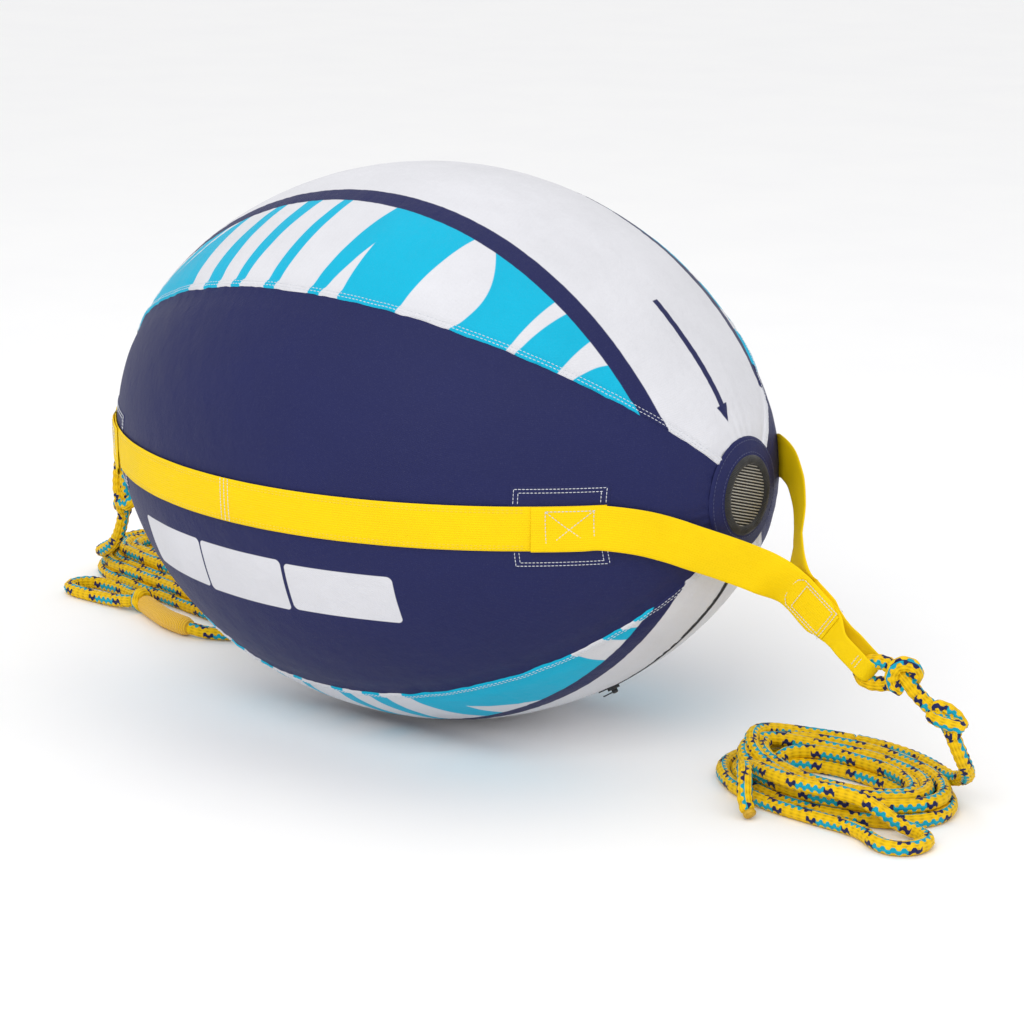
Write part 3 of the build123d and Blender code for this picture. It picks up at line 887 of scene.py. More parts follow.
@dataclass
class TowBall:
    """The sewn cover over the inflated bladder: four gores, stitched in pairs of rows."""

    belly_arc: float = 0.495
    drop: float = 0.165
    end_arc: float = 0.220
    end_centre: float = 0.220
    middle_height: float = 0.3282
    belly_turn: float = 0.9273
    patch_edge: float = 0.060
    top_seam: float = 49.0
    side_seam: float = 140.0
    hem: float = 0.009
    columns: int = 330

    def station(self, run: float, lift: float) -> Pair:
        """Where a place along the cover's outline lies.

        Args:
            run: The distance along the outline from the widest place, signed.
            lift: The height above the cover.

        Returns:
            The place along the axle and the distance from it.
        """
        size = abs(run)
        split = self.belly_arc * self.belly_turn
        if size <= split:
            angle = size / self.belly_arc
            ahead = (self.belly_arc + lift) * math.sin(angle)
            away = (self.belly_arc + lift) * math.cos(angle) - self.drop
        else:
            angle = self.belly_turn + (size - split) / self.end_arc
            ahead = self.end_centre + (self.end_arc + lift) * math.sin(angle)
            away = (self.end_arc + lift) * math.cos(angle)
        return math.copysign(ahead, run), away

    def point(self, run: float, turn: float, lift: float = 0.0) -> Vector:
        """A point over the cover, by its run along the outline and its turn from the top."""
        ahead, away = self.station(run, lift)
        return Vector((ahead, -away * math.sin(turn), self.middle_height + away * math.cos(turn)))

    def out(self, run: float, turn: float) -> Vector:
        """The way out of the cover at a place."""
        return (self.point(run, turn, 0.01) - self.point(run, turn)).normalized()

    def run_at(self, ahead: float) -> float:
        """How far along the outline a place along the axle lies."""
        size = abs(ahead)
        if size <= self.belly_arc * math.sin(self.belly_turn):
            return math.copysign(self.belly_arc * math.asin(size / self.belly_arc), ahead)
        angle = math.asin(min(1.0, (size - self.end_centre) / self.end_arc))
        return math.copysign(
            self.belly_arc * self.belly_turn + self.end_arc * (angle - self.belly_turn), ahead
        )

    def last_run(self) -> float:
        """How far along the outline the end patch covers the gores."""
        angle = math.acos(self.patch_edge / self.end_arc)
        return self.belly_arc * self.belly_turn + self.end_arc * (angle - self.belly_turn)

    def lift(self, run: float, turn: float, inset: float, over: bool) -> float:
        """How a gore's cloth lies over the bladder.

        Args:
            run: The distance along the outline.
            turn: The turn from the top.
            inset: The distance from the nearest seam.
            over: Whether this gore's edge is folded over its neighbour's.

        Returns:
            The height above the cover's smooth shape.
        """
        seam = max(inset, 0.0)
        side = math.copysign(1.0, math.sin(turn))
        pucker = noise.noise(Vector((run * 46, side * 3.1, 1.7))) + 0.6 * noise.noise(
            Vector((run * 110, side * 5.3, 8.2))
        )
        ripple = 0.0013 * pucker * math.exp(-seam / 0.020)
        swell = 0.0007 * noise.noise(self.point(run, turn) * 7.0)
        fine = 0.00035 * noise.noise(self.point(run, turn) * 38.0)
        pull = -0.0011 * math.exp(-(((seam - 0.012) / 0.010) ** 2))
        gather = 0.0
        if abs(run) > 0.43:
            size = 0.0003 * (abs(run) - 0.43) / 0.1
            gather = size * math.sin(turn * 31 + 2 * math.sin(turn * 7))
        if over:
            edge = min(1.0, seam / 0.0016)
            folded = 0.0016 * min(1.0, max(0.0, (self.hem - seam) / 0.0015 + 1.0)) * edge
            jag = 0.0004 * noise.noise(Vector((run * 160, side * 2.2, 4.0)))
            return max(
                ripple + swell + fine + pull + gather + folded + jag + 0.0006 - 0.0016 * (1 - edge), -0.0006
            )
        return max(ripple + swell + fine + pull + gather + 0.0002, -0.0008)

    def gore(self, name: str, low: float, high: float, over: bool, rows: int) -> Piece:
        """Sews one gore.

        Args:
            name: The piece's name.
            low: The turn of its first seam, in degrees.
            high: The turn of its other seam.
            over: Whether its edges are folded over its neighbours'.
            rows: How many faces there are across it.

        Returns:
            The gore.
        """
        last = self.last_run()
        margin = 0.0 if over else 0.006
        border = {"top": 0.135, "bottom": 0.105}.get(name.split("_")[1], 0.0)
        middle = math.radians((low + high) / 2) if over else 0.0

        def spread(u: float, v: float) -> Triple:
            run = (2 * u - 1) * last
            away = self.station(run, 0.0)[1]
            share = 0.5 * v + 0.5 * (0.5 - 0.5 * math.cos(math.pi * v))
            first, second = math.radians(low), math.radians(high)
            wobble = 0.0011 * noise.noise(Vector((run * 26, low + high, 2.0))) / away if over else 0.0
            room = margin / away
            turn = (first - room) + (second - first + 2 * room) * share
            turn += wobble * (1 if share > 0.5 else -1) * max(0.0, abs(share - 0.5) * 4 - 1)
            inset = min(turn - first, second - turn) * away
            return run, turn, inset

        def place(u: float, v: float) -> Vector:
            run, turn, inset = spread(u, v)
            return self.point(run, turn, self.lift(run, turn, inset, over))

        def laid(u: float, v: float) -> Pair:
            run, turn, _ = spread(u, v)
            return run, self.station(run, 0.0)[1] * (turn - middle)

        def gored(u: float, v: float) -> Pair:
            run, turn, inset = spread(u, v)
            away = self.station(run, 0.0)[1]
            seam = away * math.radians((high - low) / 2)
            across = (abs(away * (turn - middle)) - border) / max(seam - border, 0.004)
            return across, inset

        piece = draped(
            name, self.columns, rows, place, {"run": laid, "gore": gored},
            Vector((0, 0, self.middle_height))
        )
        soften(piece, 60)
        return piece

    def seam_rows(self, name: str, turn: float, way: int, rows: Sequence[float], gap: float) -> list[Stitch]:
        """Places a seam's rows of stitches.

        Args:
            name: The seam's name.
            turn: The seam's turn, in degrees.
            way: The side on which the folded edge lies, 1 or -1.
            rows: Each row's distance in from the edge.
            gap: From one stitch to the next.

        Returns:
            The stitches.
        """
        places: list[Stitch] = []
        last = self.last_run() - 0.004
        for inset in rows:
            line: list[Vector] = []
            outs: list[Vector] = []
            for run in np.linspace(-last, last, 700):
                away = self.station(float(run), 0.0)[1]
                here = math.radians(turn) + way * inset / away
                lift = self.lift(float(run), here, inset, True)
                line.append(self.point(float(run), here, lift + 0.0002))
                outs.append(self.out(float(run), here))
            places += stitch_line(line, outs, gap)
        LOG.info("seam %s: %d stitches", name, len(places))
        return places

    def build(self, finishes: Finishes) -> None:
        """Sews and dresses the cover.

        Args:
            finishes: The materials by name.
        """
        top, side = self.top_seam, self.side_seam
        plan = (
            ("gore_top", -top, top, True, 130, "top_print", "printed_cover", "cover_top"),
            ("gore_bottom", side, 360 - side, True, 110, "bottom_print", "printed_cover", "cover_bottom"),
            ("gore_side_near", top, side, False, 120, "panel_cover", "navy_cover", "cover_side_near"),
            ("gore_side_far", -side, -top, False, 120, "navy_cover", "navy_cover", "cover_side_far"),
        )
        for name, low, high, over, rows, finish, slot, node in plan:
            piece = dress(self.gore(name, low, high, over, rows), finishes[finish], slot, "ball", node)
        seams = (
            ("top_near", top, -1), ("top_far", -top, 1), ("bottom_near", side, 1),
            ("bottom_far", 360 - side, -1)
        )
        for name, turn, way in seams:
            places = self.seam_rows(name, turn, way, (0.0035, 0.0075), 0.0048)
            piece = stitched("seam_stitches_" + name, places, 0.0036, 0.0009, 0.0005)
            dress(piece, finishes["pale_thread"], "printed_cover", "ball")


@dataclass
class EndCap:
    """The round patch at one end, with its bound vent and the mesh in it."""

    ball: TowBall
    side: int
    patch_radius: float = 0.0655
    vent_radius: float = 0.0355
    binding_radius: float = 0.0462
    proud: float = 0.0026
    thread_gap: float = 0.0034
    weave_turn: float = 0.29

    def point(self, radius: float, turn: float, lift: float) -> Vector:
        """A point over the end, by its distance from the axle."""
        ball = self.ball
        ahead = ball.end_centre + math.sqrt((ball.end_arc + lift) ** 2 - radius**2)
        return Vector(
            (self.side * ahead, -radius * math.sin(turn), ball.middle_height + radius * math.cos(turn))
        )

    def ring(
        self, name: str, inner: float, outer: float, rise: Callable[[float, float], float], columns: int,
        rows: int
    ) -> Piece:
        """A round piece with a hole.

        Args:
            name: The piece's name.
            inner: The hole's radius.
            outer: The edge's radius.
            rise: Its height at a share of the way out and a turn.
            columns: How many faces there are round it.
            rows: How many faces there are from the hole to the edge.

        Returns:
            The ring.
        """

        def place(u: float, v: float) -> Vector:
            turn = 2 * math.pi * u
            radius = inner + (outer - inner) * v
            return self.point(radius, turn, rise(v, turn))

        def laid(u: float, v: float) -> Pair:
            return 2 * math.pi * u * (inner + outer) / 2, (outer - inner) * v

        layers = {"along": laid, "run": laid, "gore": laid}
        piece = draped(name, columns, rows, place, layers, Vector((0, 0, self.ball.middle_height)))
        edit_all(piece, lambda: bpy.ops.mesh.remove_doubles(threshold=1e-5))
        soften(piece, 50)
        return piece

    def threads(self, name: str, level: bool, gap: float, thick: float) -> Piece:
        """The threads of the vent's open mesh that run one way.

        Args:
            name: The piece's name.
            level: Whether they run across, and not up.
            gap: From one thread to the next.
            thick: A thread's radius.

        Returns:
            One piece with all the threads.
        """
        ahead, aslant = math.cos(self.weave_turn), math.sin(self.weave_turn)
        reach_out = self.vent_radius + 0.001
        points: list[np.ndarray] = []
        faces: list[list[int]] = []
        sides, steps = 6, 14
        for number, place in enumerate(np.arange(-reach_out + gap / 2, reach_out, gap)):
            half = math.sqrt(max(reach_out**2 - place**2, 0.0))
            base = number * (steps + 1) * sides
            block = []
            for step in range(steps + 1):
                along = -half + 2 * half * step / steps
                y, z = (along, place) if level else (place, along)
                y, z = y * ahead + z * aslant, z * ahead - y * aslant
                centre = self.point(math.hypot(y, z), math.atan2(-y, z), 0.0003 if level else -0.0003)
                for corner in range(sides):
                    turn = 2 * math.pi * corner / sides
                    lift = Vector((self.side, 0, 0)) * math.cos(turn)
                    aside = (Vector((0, 0, 1)) if level else Vector((0, 1, 0))) * math.sin(turn)
                    block.append(centre + (lift + aside) * thick)
            points.append(np.array(block))
            for step in range(steps):
                for corner in range(sides):
                    after = (corner + 1) % sides
                    low, high = base + step * sides, base + (step + 1) * sides
                    faces.append([low + corner, low + after, high + after, high + corner])
        piece = solid(name, np.concatenate(points), faces)
        edit_all(piece, lambda: bpy.ops.mesh.normals_make_consistent(inside=False))
        soften(piece, 60)
        return piece

    def build(self, finishes: Finishes) -> None:
        """Makes and dresses the end.

        Args:
            finishes: The materials by name.
        """
        label = "front" if self.side > 0 else "rear"

        def patch_rise(v: float, turn: float) -> float:
            edge = min(1.0, (1 - v) / 0.04)
            return 0.0024 + 0.0006 * edge + 0.0003 * noise.noise(
                Vector((turn * 3, v * 3, 1.0))
            ) - 0.0014 * (1 - edge)

        def tape_rise(v: float, turn: float) -> float:
            crown = math.sin(math.pi * min(max(v, 0.0), 1.0)) ** 0.45
            rib = 0.00022 * math.sin(turn * 150)
            return 0.0006 + (self.proud + 0.0022 + rib) * crown

        patch = self.ring(label + "_patch", self.vent_radius + 0.002, self.patch_radius, patch_rise, 180, 16)
        dress(patch, finishes["navy_cover"], "navy_cover", "ball", label + "_end_patch")
        tape = self.ring(
            label + "_vent_tape", self.vent_radius - 0.0008, self.binding_radius, tape_rise, 900, 12
        )
        dress(tape, finishes["binding"], "binding_tape", "ball", label + "_vent_binding")
        backing = self.ring(
            label + "_vent_backing", 0.00001, self.vent_radius + 0.003, lambda v, turn: -0.0014, 64, 8
        )
        dress(backing, finishes["vent_dark"], "vent_mesh", "ball")
        mesh = self.threads(label + "_vent_threads", True, self.thread_gap, 0.00085)
        dress(mesh, finishes["vent_thread"], "vent_mesh", "ball", label + "_vent_mesh")
        upright = self.threads(label + "_vent_ties", False, self.thread_gap * 0.9, 0.0004)
        dress(upright, finishes["vent_tie"], "vent_mesh", "ball")
        places: list[Stitch] = []
        for radius in (self.patch_radius - 0.004, self.binding_radius + 0.0022):
            line = [self.point(radius, 2 * math.pi * step / 240, 0.0032) for step in range(241)]
            outs = [Vector((self.side, 0, 0))] * 241
            places += stitch_line(line, outs, 0.0046)
        thread = stitched(label + "_patch_stitches", places, 0.0034, 0.0009, 0.0004)
        dress(thread, finishes["navy_thread"], "navy_cover", "ball")


# ---------------------------------------------------------------- harness


def spun_line(stations: Sequence[Vector], gap: float) -> list[Vector]:
    """Runs a smooth line through its stations.

    Args:
        stations: The points that it passes.
        gap: About how far apart the new points are.

    Returns:
        The line.
    """
    padded = [stations[0] * 2 - stations[1], *stations, stations[-1] * 2 - stations[-2]]
    line: list[Vector] = []
    for a, b, c, d in zip(padded, padded[1:], padded[2:], padded[3:]):
        count = max(2, int((c - b).length / gap))
        for step in range(count):
            t = step / count
            line.append(
                0.5 * (
                    2 * b + (c - a) * t + (2 * a - 5 * b + 4 * c - d) * t**2 + (3 * b - a - 3 * c + d) * t**3
                )
            )
    line.append(stations[-1].copy())
    return line


@dataclass
class Webbing:
    """A length of flat webbing with rolled edges."""

    width: float = 0.050
    thickness: float = 0.0024
    half_points: int = 11

    def section(self, width: float, thickness: float) -> list[Pair]:
        """The section's outline, as places across and up."""
        top: list[Pair] = []
        for step in range(self.half_points):
            share = -math.cos(math.pi * step / (self.half_points - 1))
            fall = 1 - abs(share) ** 14
            ridge = 0.00012 * math.cos(share * 14)
            top.append((share * width / 2, (thickness / 2 + ridge) * max(fall, 0.0) ** 0.5))
        return top + [(across, -up) for across, up in reversed(top[1:-1])]

    def sweep(
        self, name: str, line: Sequence[Vector], wide: Sequence[Vector], widths: Sequence[float],
        start: float = 0.0
    ) -> Piece:
        """Makes webbing along a line.

        Args:
            name: The piece's name.
            line: The webbing's middle.
            wide: The direction across it at each point.
            widths: Its width at each point.
            start: How far along the webbing the line starts.

        Returns:
            The piece.
        """
        rings: list[list[Vector]] = []
        ways = tangents(line)
        for number, (middle, along, across, width) in enumerate(zip(line, ways, wide, widths)):
            flat = (across - along * across.dot(along)).normalized()
            face = along.cross(flat)
            end = min(number, len(line) - 1 - number)
            thick = self.thickness * (0.35 + 0.65 * min(1.0, end / 2))
            wave = 0.0005 * noise.noise(middle * 30)
            rings.append([middle + flat * a + face * (b + wave) for a, b in self.section(width, thick)])
        outline = self.section(self.width, self.thickness)
        rounds = np.array([across for across, _ in outline] + [outline[0][0]])
        piece = skinned(name, np.array(rings), reach(line) + start, rounds)
        soften(piece, 55)
        return piece


class Flank(Enum):
    """A side of the ball, by the sign of its turn from the top."""

    NEAR = 1
    FAR = -1


@dataclass
class SewnStrap:
    """The strap sewn round one flank, on its two reinforcement patches."""

    ball: TowBall
    flank: Flank
    webbing: Webbing
    drop: float = 0.012
    half_length: float = 0.366
    lift: float = 0.0030
    patch_middle: float = 0.334
    patch_size: float = 0.095
    join_at: float = -0.041

    def turn(self, run: float, across: float = 0.0) -> float:
        """The turn from the top at a place along and across the strap."""
        away = self.ball.station(run, 0.0)[1]
        level = math.acos(max(-1.0, min(1.0, -self.drop / away)))
        return self.flank.value * (level - across / away)

    def middle(self, ahead: float, lift: float) -> Vector:
        """The strap's middle at a place along the axle."""
        run = self.ball.run_at(ahead)
        return self.ball.point(run, self.turn(run), lift)

    def spot(self, run: float, across: float, lift: float) -> Vector:
        """A point over the strap, across being upwards."""
        return self.ball.point(run, self.turn(run, across), lift)

    def strap(self, name: str) -> Piece:
        """Makes the strap, which lies round the ball."""
        last = self.ball.run_at(self.half_length)
        runs = np.linspace(-last, last, 190)
        section = self.webbing.section(self.webbing.width, self.webbing.thickness)
        rings = [
            [
                self.spot(
                    float(run), a, self.lift + b + 0.0003 * noise.noise(Vector((run * 30, a * 30, 3)))
                ) for a,
                b in section
            ] for run in runs
        ]
        rounds = np.array([across for across, _ in section] + [section[0][0]])
        piece = skinned(name, np.array(rings), runs - runs[0], rounds)
        soften(piece, 55)
        return piece

    def patch(self, name: str, side: int) -> Piece:
        """Makes one square reinforcement patch under the strap."""
        half = self.patch_size / 2
        first = self.ball.run_at(side * (self.patch_middle - half))
        last = self.ball.run_at(side * (self.patch_middle + half - 0.012))

        def place(u: float, v: float) -> Vector:
            run = first + (last - first) * u
            across = (2 * v - 1) * half
            edge = min(u, 1 - u, v, 1 - v)
            rise = 0.0018 * min(1.0, edge / 0.015) - 0.0006 + 0.0003 * noise.noise(
                Vector((u * 9, v * 9, side))
            )
            return self.spot(run, across, rise)

        def laid(u: float, v: float) -> Pair:
            return u * self.patch_size, v * self.patch_size

        piece = draped(
            name, 48, 48, place, {"run": laid, "gore": laid, "along": laid},
            Vector((0, 0, self.ball.middle_height))
        )
        soften(piece, 50)
        return piece

    def row(self, corners: Sequence[Pair], lift: float, pitch: float = 0.0042) -> list[Stitch]:
        """Places stitches along lines between corners, each a place along the axle and across the strap."""
        places: list[Stitch] = []
        for (x0, a0), (x1, a1) in zip(corners, corners[1:]):
            line: list[Vector] = []
            outs: list[Vector] = []
            steps = max(3, int(math.hypot(x1 - x0, a1 - a0) / 0.003))
            for step in range(steps + 1):
                share = step / steps
                run = self.ball.run_at(x0 + (x1 - x0) * share)
                across = a0 + (a1 - a0) * share
                line.append(self.spot(run, across, lift))
                outs.append(self.ball.out(run, self.turn(run, across)))
            places += stitch_line(line, outs, pitch)
        return places

    def box_cross(self, side: int) -> list[Stitch]:
        """The stitched square with its cross, where the strap ends on its patch."""
        near, far, half = side * 0.318, side * 0.356, 0.020
        over = self.lift + 0.0042
        square = [(near, half), (far, half), (far, -half), (near, -half), (near, half), (far, -half)]
        return self.row(square, over) + self.row([(near, -half), (far, half)], over)

    def build(self, finishes: Finishes) -> None:
        """Makes and dresses the strap, its patches and their stitches.

        Args:
            finishes: The materials by name.
        """
        label = self.flank.name.lower()
        strap = dress(
            self.strap("side_strap_webbing_" + label), finishes["webbing"], "harness_webbing", "ball",
            "side_strap_" + label
        )
        pale: list[Stitch] = []
        yellow: list[Stitch] = []
        half = self.patch_size / 2
        for side, end in ((1, "front"), (-1, "rear")):
            patch = self.patch(f"{end}_patch_square_{label}", side)
            dress(patch, finishes["navy_cover"], "navy_cover", "ball", f"{end}_reinforcement_{label}")
            inner, outer = side * (self.patch_middle - half), side * (self.patch_middle + half - 0.012)
            for inset in (0.004, 0.008):
                low, high = inner + side * inset, outer - side * inset
                top = half - inset
                lift = 0.0014
                pale += self.row([(low, 0.027), (low, top), (high, top), (high, 0.027)], lift)
                pale += self.row([(low, -0.027), (low, -top), (high, -top), (high, -0.027)], lift)
            pale += self.box_cross(side)
        face = self.lift + self.webbing.thickness / 2 + 0.0001
        for inset in (0.0215, 0.0185):
            for way in (1, -1):
                yellow += self.row(
                    [(-0.30, way * inset), (0.0, way * inset), (0.30, way * inset)], face, 0.005
                )
        for shift in (-0.006, 0.0, 0.006):
            pale += self.row([(self.join_at + shift, -0.024), (self.join_at + shift, 0.024)], face, 0.0038)
        threads = (("pale", pale, "pale_thread"), ("yellow", yellow, "yellow_thread"))
        for kind, places, finish in threads:
            piece = stitched(f"strap_{kind}_stitches_{label}", places, 0.0036, 0.0010, 0.0005)
            dress(piece, finishes[finish], "harness_webbing", "ball")


@dataclass
class Frame:
    """A tow loop's own directions: where its arms meet, along it, across its width and through it."""

    meeting: Vector
    along: Vector
    wide: Vector
    through: Vector

    def spot(self, far: float, across: float, through: float = 0.0) -> Vector:
        """A point from its three distances in millimetres."""
        shift = self.along * far + self.wide * across + self.through * through
        return self.meeting + shift * MM


UPRIGHT = (0.0, 0.0, 1.0)


@dataclass
class Bridle:
    """One end's two free arms of webbing and the loop sewn between them."""

    end: str
    frame: Frame
    arms: dict[Flank, tuple[Station, ...]]
    straps: dict[Flank, SewnStrap]
    webbing: Webbing
    lap_start: float = 0.306
    lap_lift: float = 0.0056
    loop_leg: float = 0.011
    loop_end: float = 131.0
    tongue_end: float = 62.0
    fold_width: float = 0.027
    tongue_width: float = 0.044
    taper: float = 0.020
    taper_width: float = 0.036

    @property
    def side(self) -> int:
        """The sign of this end along the axle."""
        return 1 if self.end == "front" else -1

    def arm_line(self, flank: Flank) -> tuple[list[Vector], list[Vector]]:
        """An arm's middle and the directions across it.

        Args:
            flank: The arm's flank.

        Returns:
            The line and the directions.
        """
        strap = self.straps[flank]
        laps = [strap.middle(self.side * x, self.lap_lift) for x in (self.lap_start, 0.326, 0.346, 0.363)]
        stations = laps + [Vector(place) * MM for place, _ in self.arms[flank][1:]]
        widths = [UP] * len(laps) + [Vector(wide) for _, wide in self.arms[flank][1:]]
        line = spun_line(stations, 0.0035)
        runs = reach(line)
        marks = [float(runs[min(range(len(line)), key=lambda i: (line[i] - s).length)]) for s in stations]
        table = np.array([w.normalized() for w in widths])
        across = [
            Vector(
                [float(np.interp(run, marks, table[:, axis])) for axis in range(3)]
            ).normalized() for run in runs
        ]
        return line, across

    def loop_line(self) -> tuple[list[Vector], list[float]]:
        """The loop's middle line, out along one leg and back along the other, with its widths."""
        leg = self.loop_leg / MM
        centre = self.loop_end - leg
        out = [
            (8.0, 1.7), (34.0, 1.7), (self.tongue_end, 1.9), (73.0, 6.0), (86.0, leg), (centre - 12, leg),
            (centre, leg)
        ]
        turned = [
            (centre + leg * math.sin(a), leg * math.cos(a)) for a in (
                0.5, 1.05, math.pi / 2, math.pi - 1.05, math.pi - 0.5
            )
        ]
        back = [(far, -through) for far, through in reversed(out)]
        route = out + turned + back
        line = spun_line([self.frame.spot(far, 0.0, through) for far, through in route], 0.0022)
        widths: list[float] = []
        for point in line:
            far = (point - self.frame.meeting).dot(self.frame.along) / MM
            share = eased((far - self.tongue_end + 8) / 30)
            widths.append(self.tongue_width + (self.fold_width - self.tongue_width) * share)
        return line, widths

    def face_row(self, corners: Sequence[Pair], through: float, pitch: float = 0.0038) -> list[Stitch]:
        """Places stitches on the loop's face, between corners given along and across it."""
        places: list[Stitch] = []
        out = self.frame.through * (1 if through > 0 else -1)
        for (d0, w0), (d1, w1) in zip(corners, corners[1:]):
            steps = max(3, int(math.hypot(d1 - d0, w1 - w0) / 2))
            line = [
                self.frame.spot(
                    d0 + (d1 - d0) * s / steps, w0 + (w1 - w0) * s / steps, through
                ) for s in range(steps + 1)
            ]
            places += stitch_line(line, [out] * len(line), pitch)
        return places

    def build(self, finishes: Finishes) -> None:
        """Makes and dresses the arms, the loop and their stitches.

        Args:
            finishes: The materials by name.
        """
        body = self.end + "_bridle"
        bend_from = (self.side * 0.372, 0.0, 0.3162)
        bend_to = (self.side * 0.452, 0.0, 0.3162)
        for flank in Flank:
            label = flank.name.lower()
            line, across = self.arm_line(flank)
            runs = reach(line)
            shares = [eased(1 - (float(runs[-1]) - float(run)) / self.taper) for run in runs]
            widths = [
                self.webbing.width + (self.taper_width - self.webbing.width) * share for share in shares
            ]
            piece = self.webbing.sweep(f"{self.end}_arm_webbing_{label}", line, across, widths)
            dress(
                piece, finishes["webbing"], "harness_webbing", "", f"{self.end}_flex_web_{label}",
                f"{self.end}_bridle_{label}"
            )
            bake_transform(piece)
        line, widths = self.loop_line()
        loop = self.webbing.sweep(self.end + "_loop_webbing", line, [self.frame.wide] * len(line), widths)
        dress(loop, finishes["webbing"], "harness_webbing", body, self.end + "_tow_loop")
        face = 6.1
        places: list[Stitch] = []
        for way in (1, -1):
            level = way * face
            places += self.face_row(
                [(6, 20), (58, 20), (58, -20), (6, -20), (0, -14), (-3, 0), (0, 14), (6, 20)], level
            )
            places += self.face_row([(12, 16.5), (54, 16.5), (54, -16.5), (12, -16.5), (12, 16.5)], level)
            leg = way * (self.loop_leg / MM + 1.4)
            places += self.face_row([(108, -7), (108, 7)], leg) + self.face_row([(113, -7), (113, 7)], leg)
        thread = stitched(self.end + "_loop_stitches", places, 0.0034, 0.0010, 0.0005)
        dress(thread, finishes["pale_thread"], "harness_webbing", body)


# ---------------------------------------------------------------- ropes


@dataclass
class RopeSkin:
    """A round rope's tube, with its braid in relief where it is near."""

    diameter: float = 0.0163
    strands: int = 6
    pick: float = 0.021

    def tube(
        self, name: str, path: Sequence[Vector], sides: int, relief: float = 0.0, start: float = 0.0,
        radius: Optional[float] = None, tip: float = 0.0
    ) -> Piece:
        """Makes a rope along a line.

        Args:
            name: The piece's name.
            path: The rope's middle.
            sides: How many faces there are round it.
            relief: How deep the braid's hollows are.
            start: How far along the rope the line starts.
            radius: Its radius, where it isn't the rope's own.
            tip: How far the ends round off.

        Returns:
            The piece.
        """
        base = radius or self.diameter / 2
        first = UP if abs(tangents(path)[0].z) < 0.9 else Vector((1, 0, 0))
        supports = carried(path, first)
        runs = reach(path)
        ways = tangents(path)
        rings: list[list[Vector]] = []
        for point, support, way, run in zip(path, supports, ways, runs):
            other = way.cross(support)
            ring: list[Vector] = []
            end = min(run, runs[-1] - run)
            close = math.sqrt(max(0.02, 1 - (1 - min(1.0, end / tip)) ** 2)) if tip else 1.0
            for side in range(sides):
                turn = 2 * math.pi * side / sides
                left = math.sin(2 * math.pi * ((run + start) / self.pick + side / sides * self.strands))
                right = math.sin(2 * math.pi * ((run + start) / self.pick - side / sides * self.strands))
                size = (base + relief * left * right * 0.5) * close
                ring.append(point + (support * math.cos(turn) + other * math.sin(turn)) * size)
            rings.append(ring)
        rounds = np.linspace(0, 1, sides + 1)
        piece = skinned(name, np.array(rings), runs + start, rounds)
        soften(piece, 70)
        return piece


def cut(path: Sequence[Vector], low: float, high: float) -> list[Vector]:
    """The part of a line between two distances along it."""
    runs = reach(path)
    return [point for point, run in zip(path, runs) if low - 1e-6 <= run <= high + 1e-6]


def overhand(centre: Vector, axis: Vector, length: float, radius: float, strand: float) -> list[Vector]:
    """The path of a tight stopper knot.

    Args:
        centre: The knot's middle.
        axis: The rope's direction through it.
        length: The knot's length.
        radius: The knot's radius.
        strand: The strand's radius.

    Returns:
        The path.
    """
    side = axis.cross(UP).normalized()
    rise = side.cross(axis)
    half, middle = length / 2 - strand, (radius - strand)
    points: list[Vector] = []
    for step in range(181):
        turn = 2 * math.pi * step / 180 - math.pi / 2
        away = middle * (0.58 + 0.42 * math.cos(3 * turn))
        ahead = half * math.sin(3 * turn)
        points.append(centre + axis * ahead + (side * math.cos(2 * turn) + rise * math.sin(2 * turn)) * away)
    return points


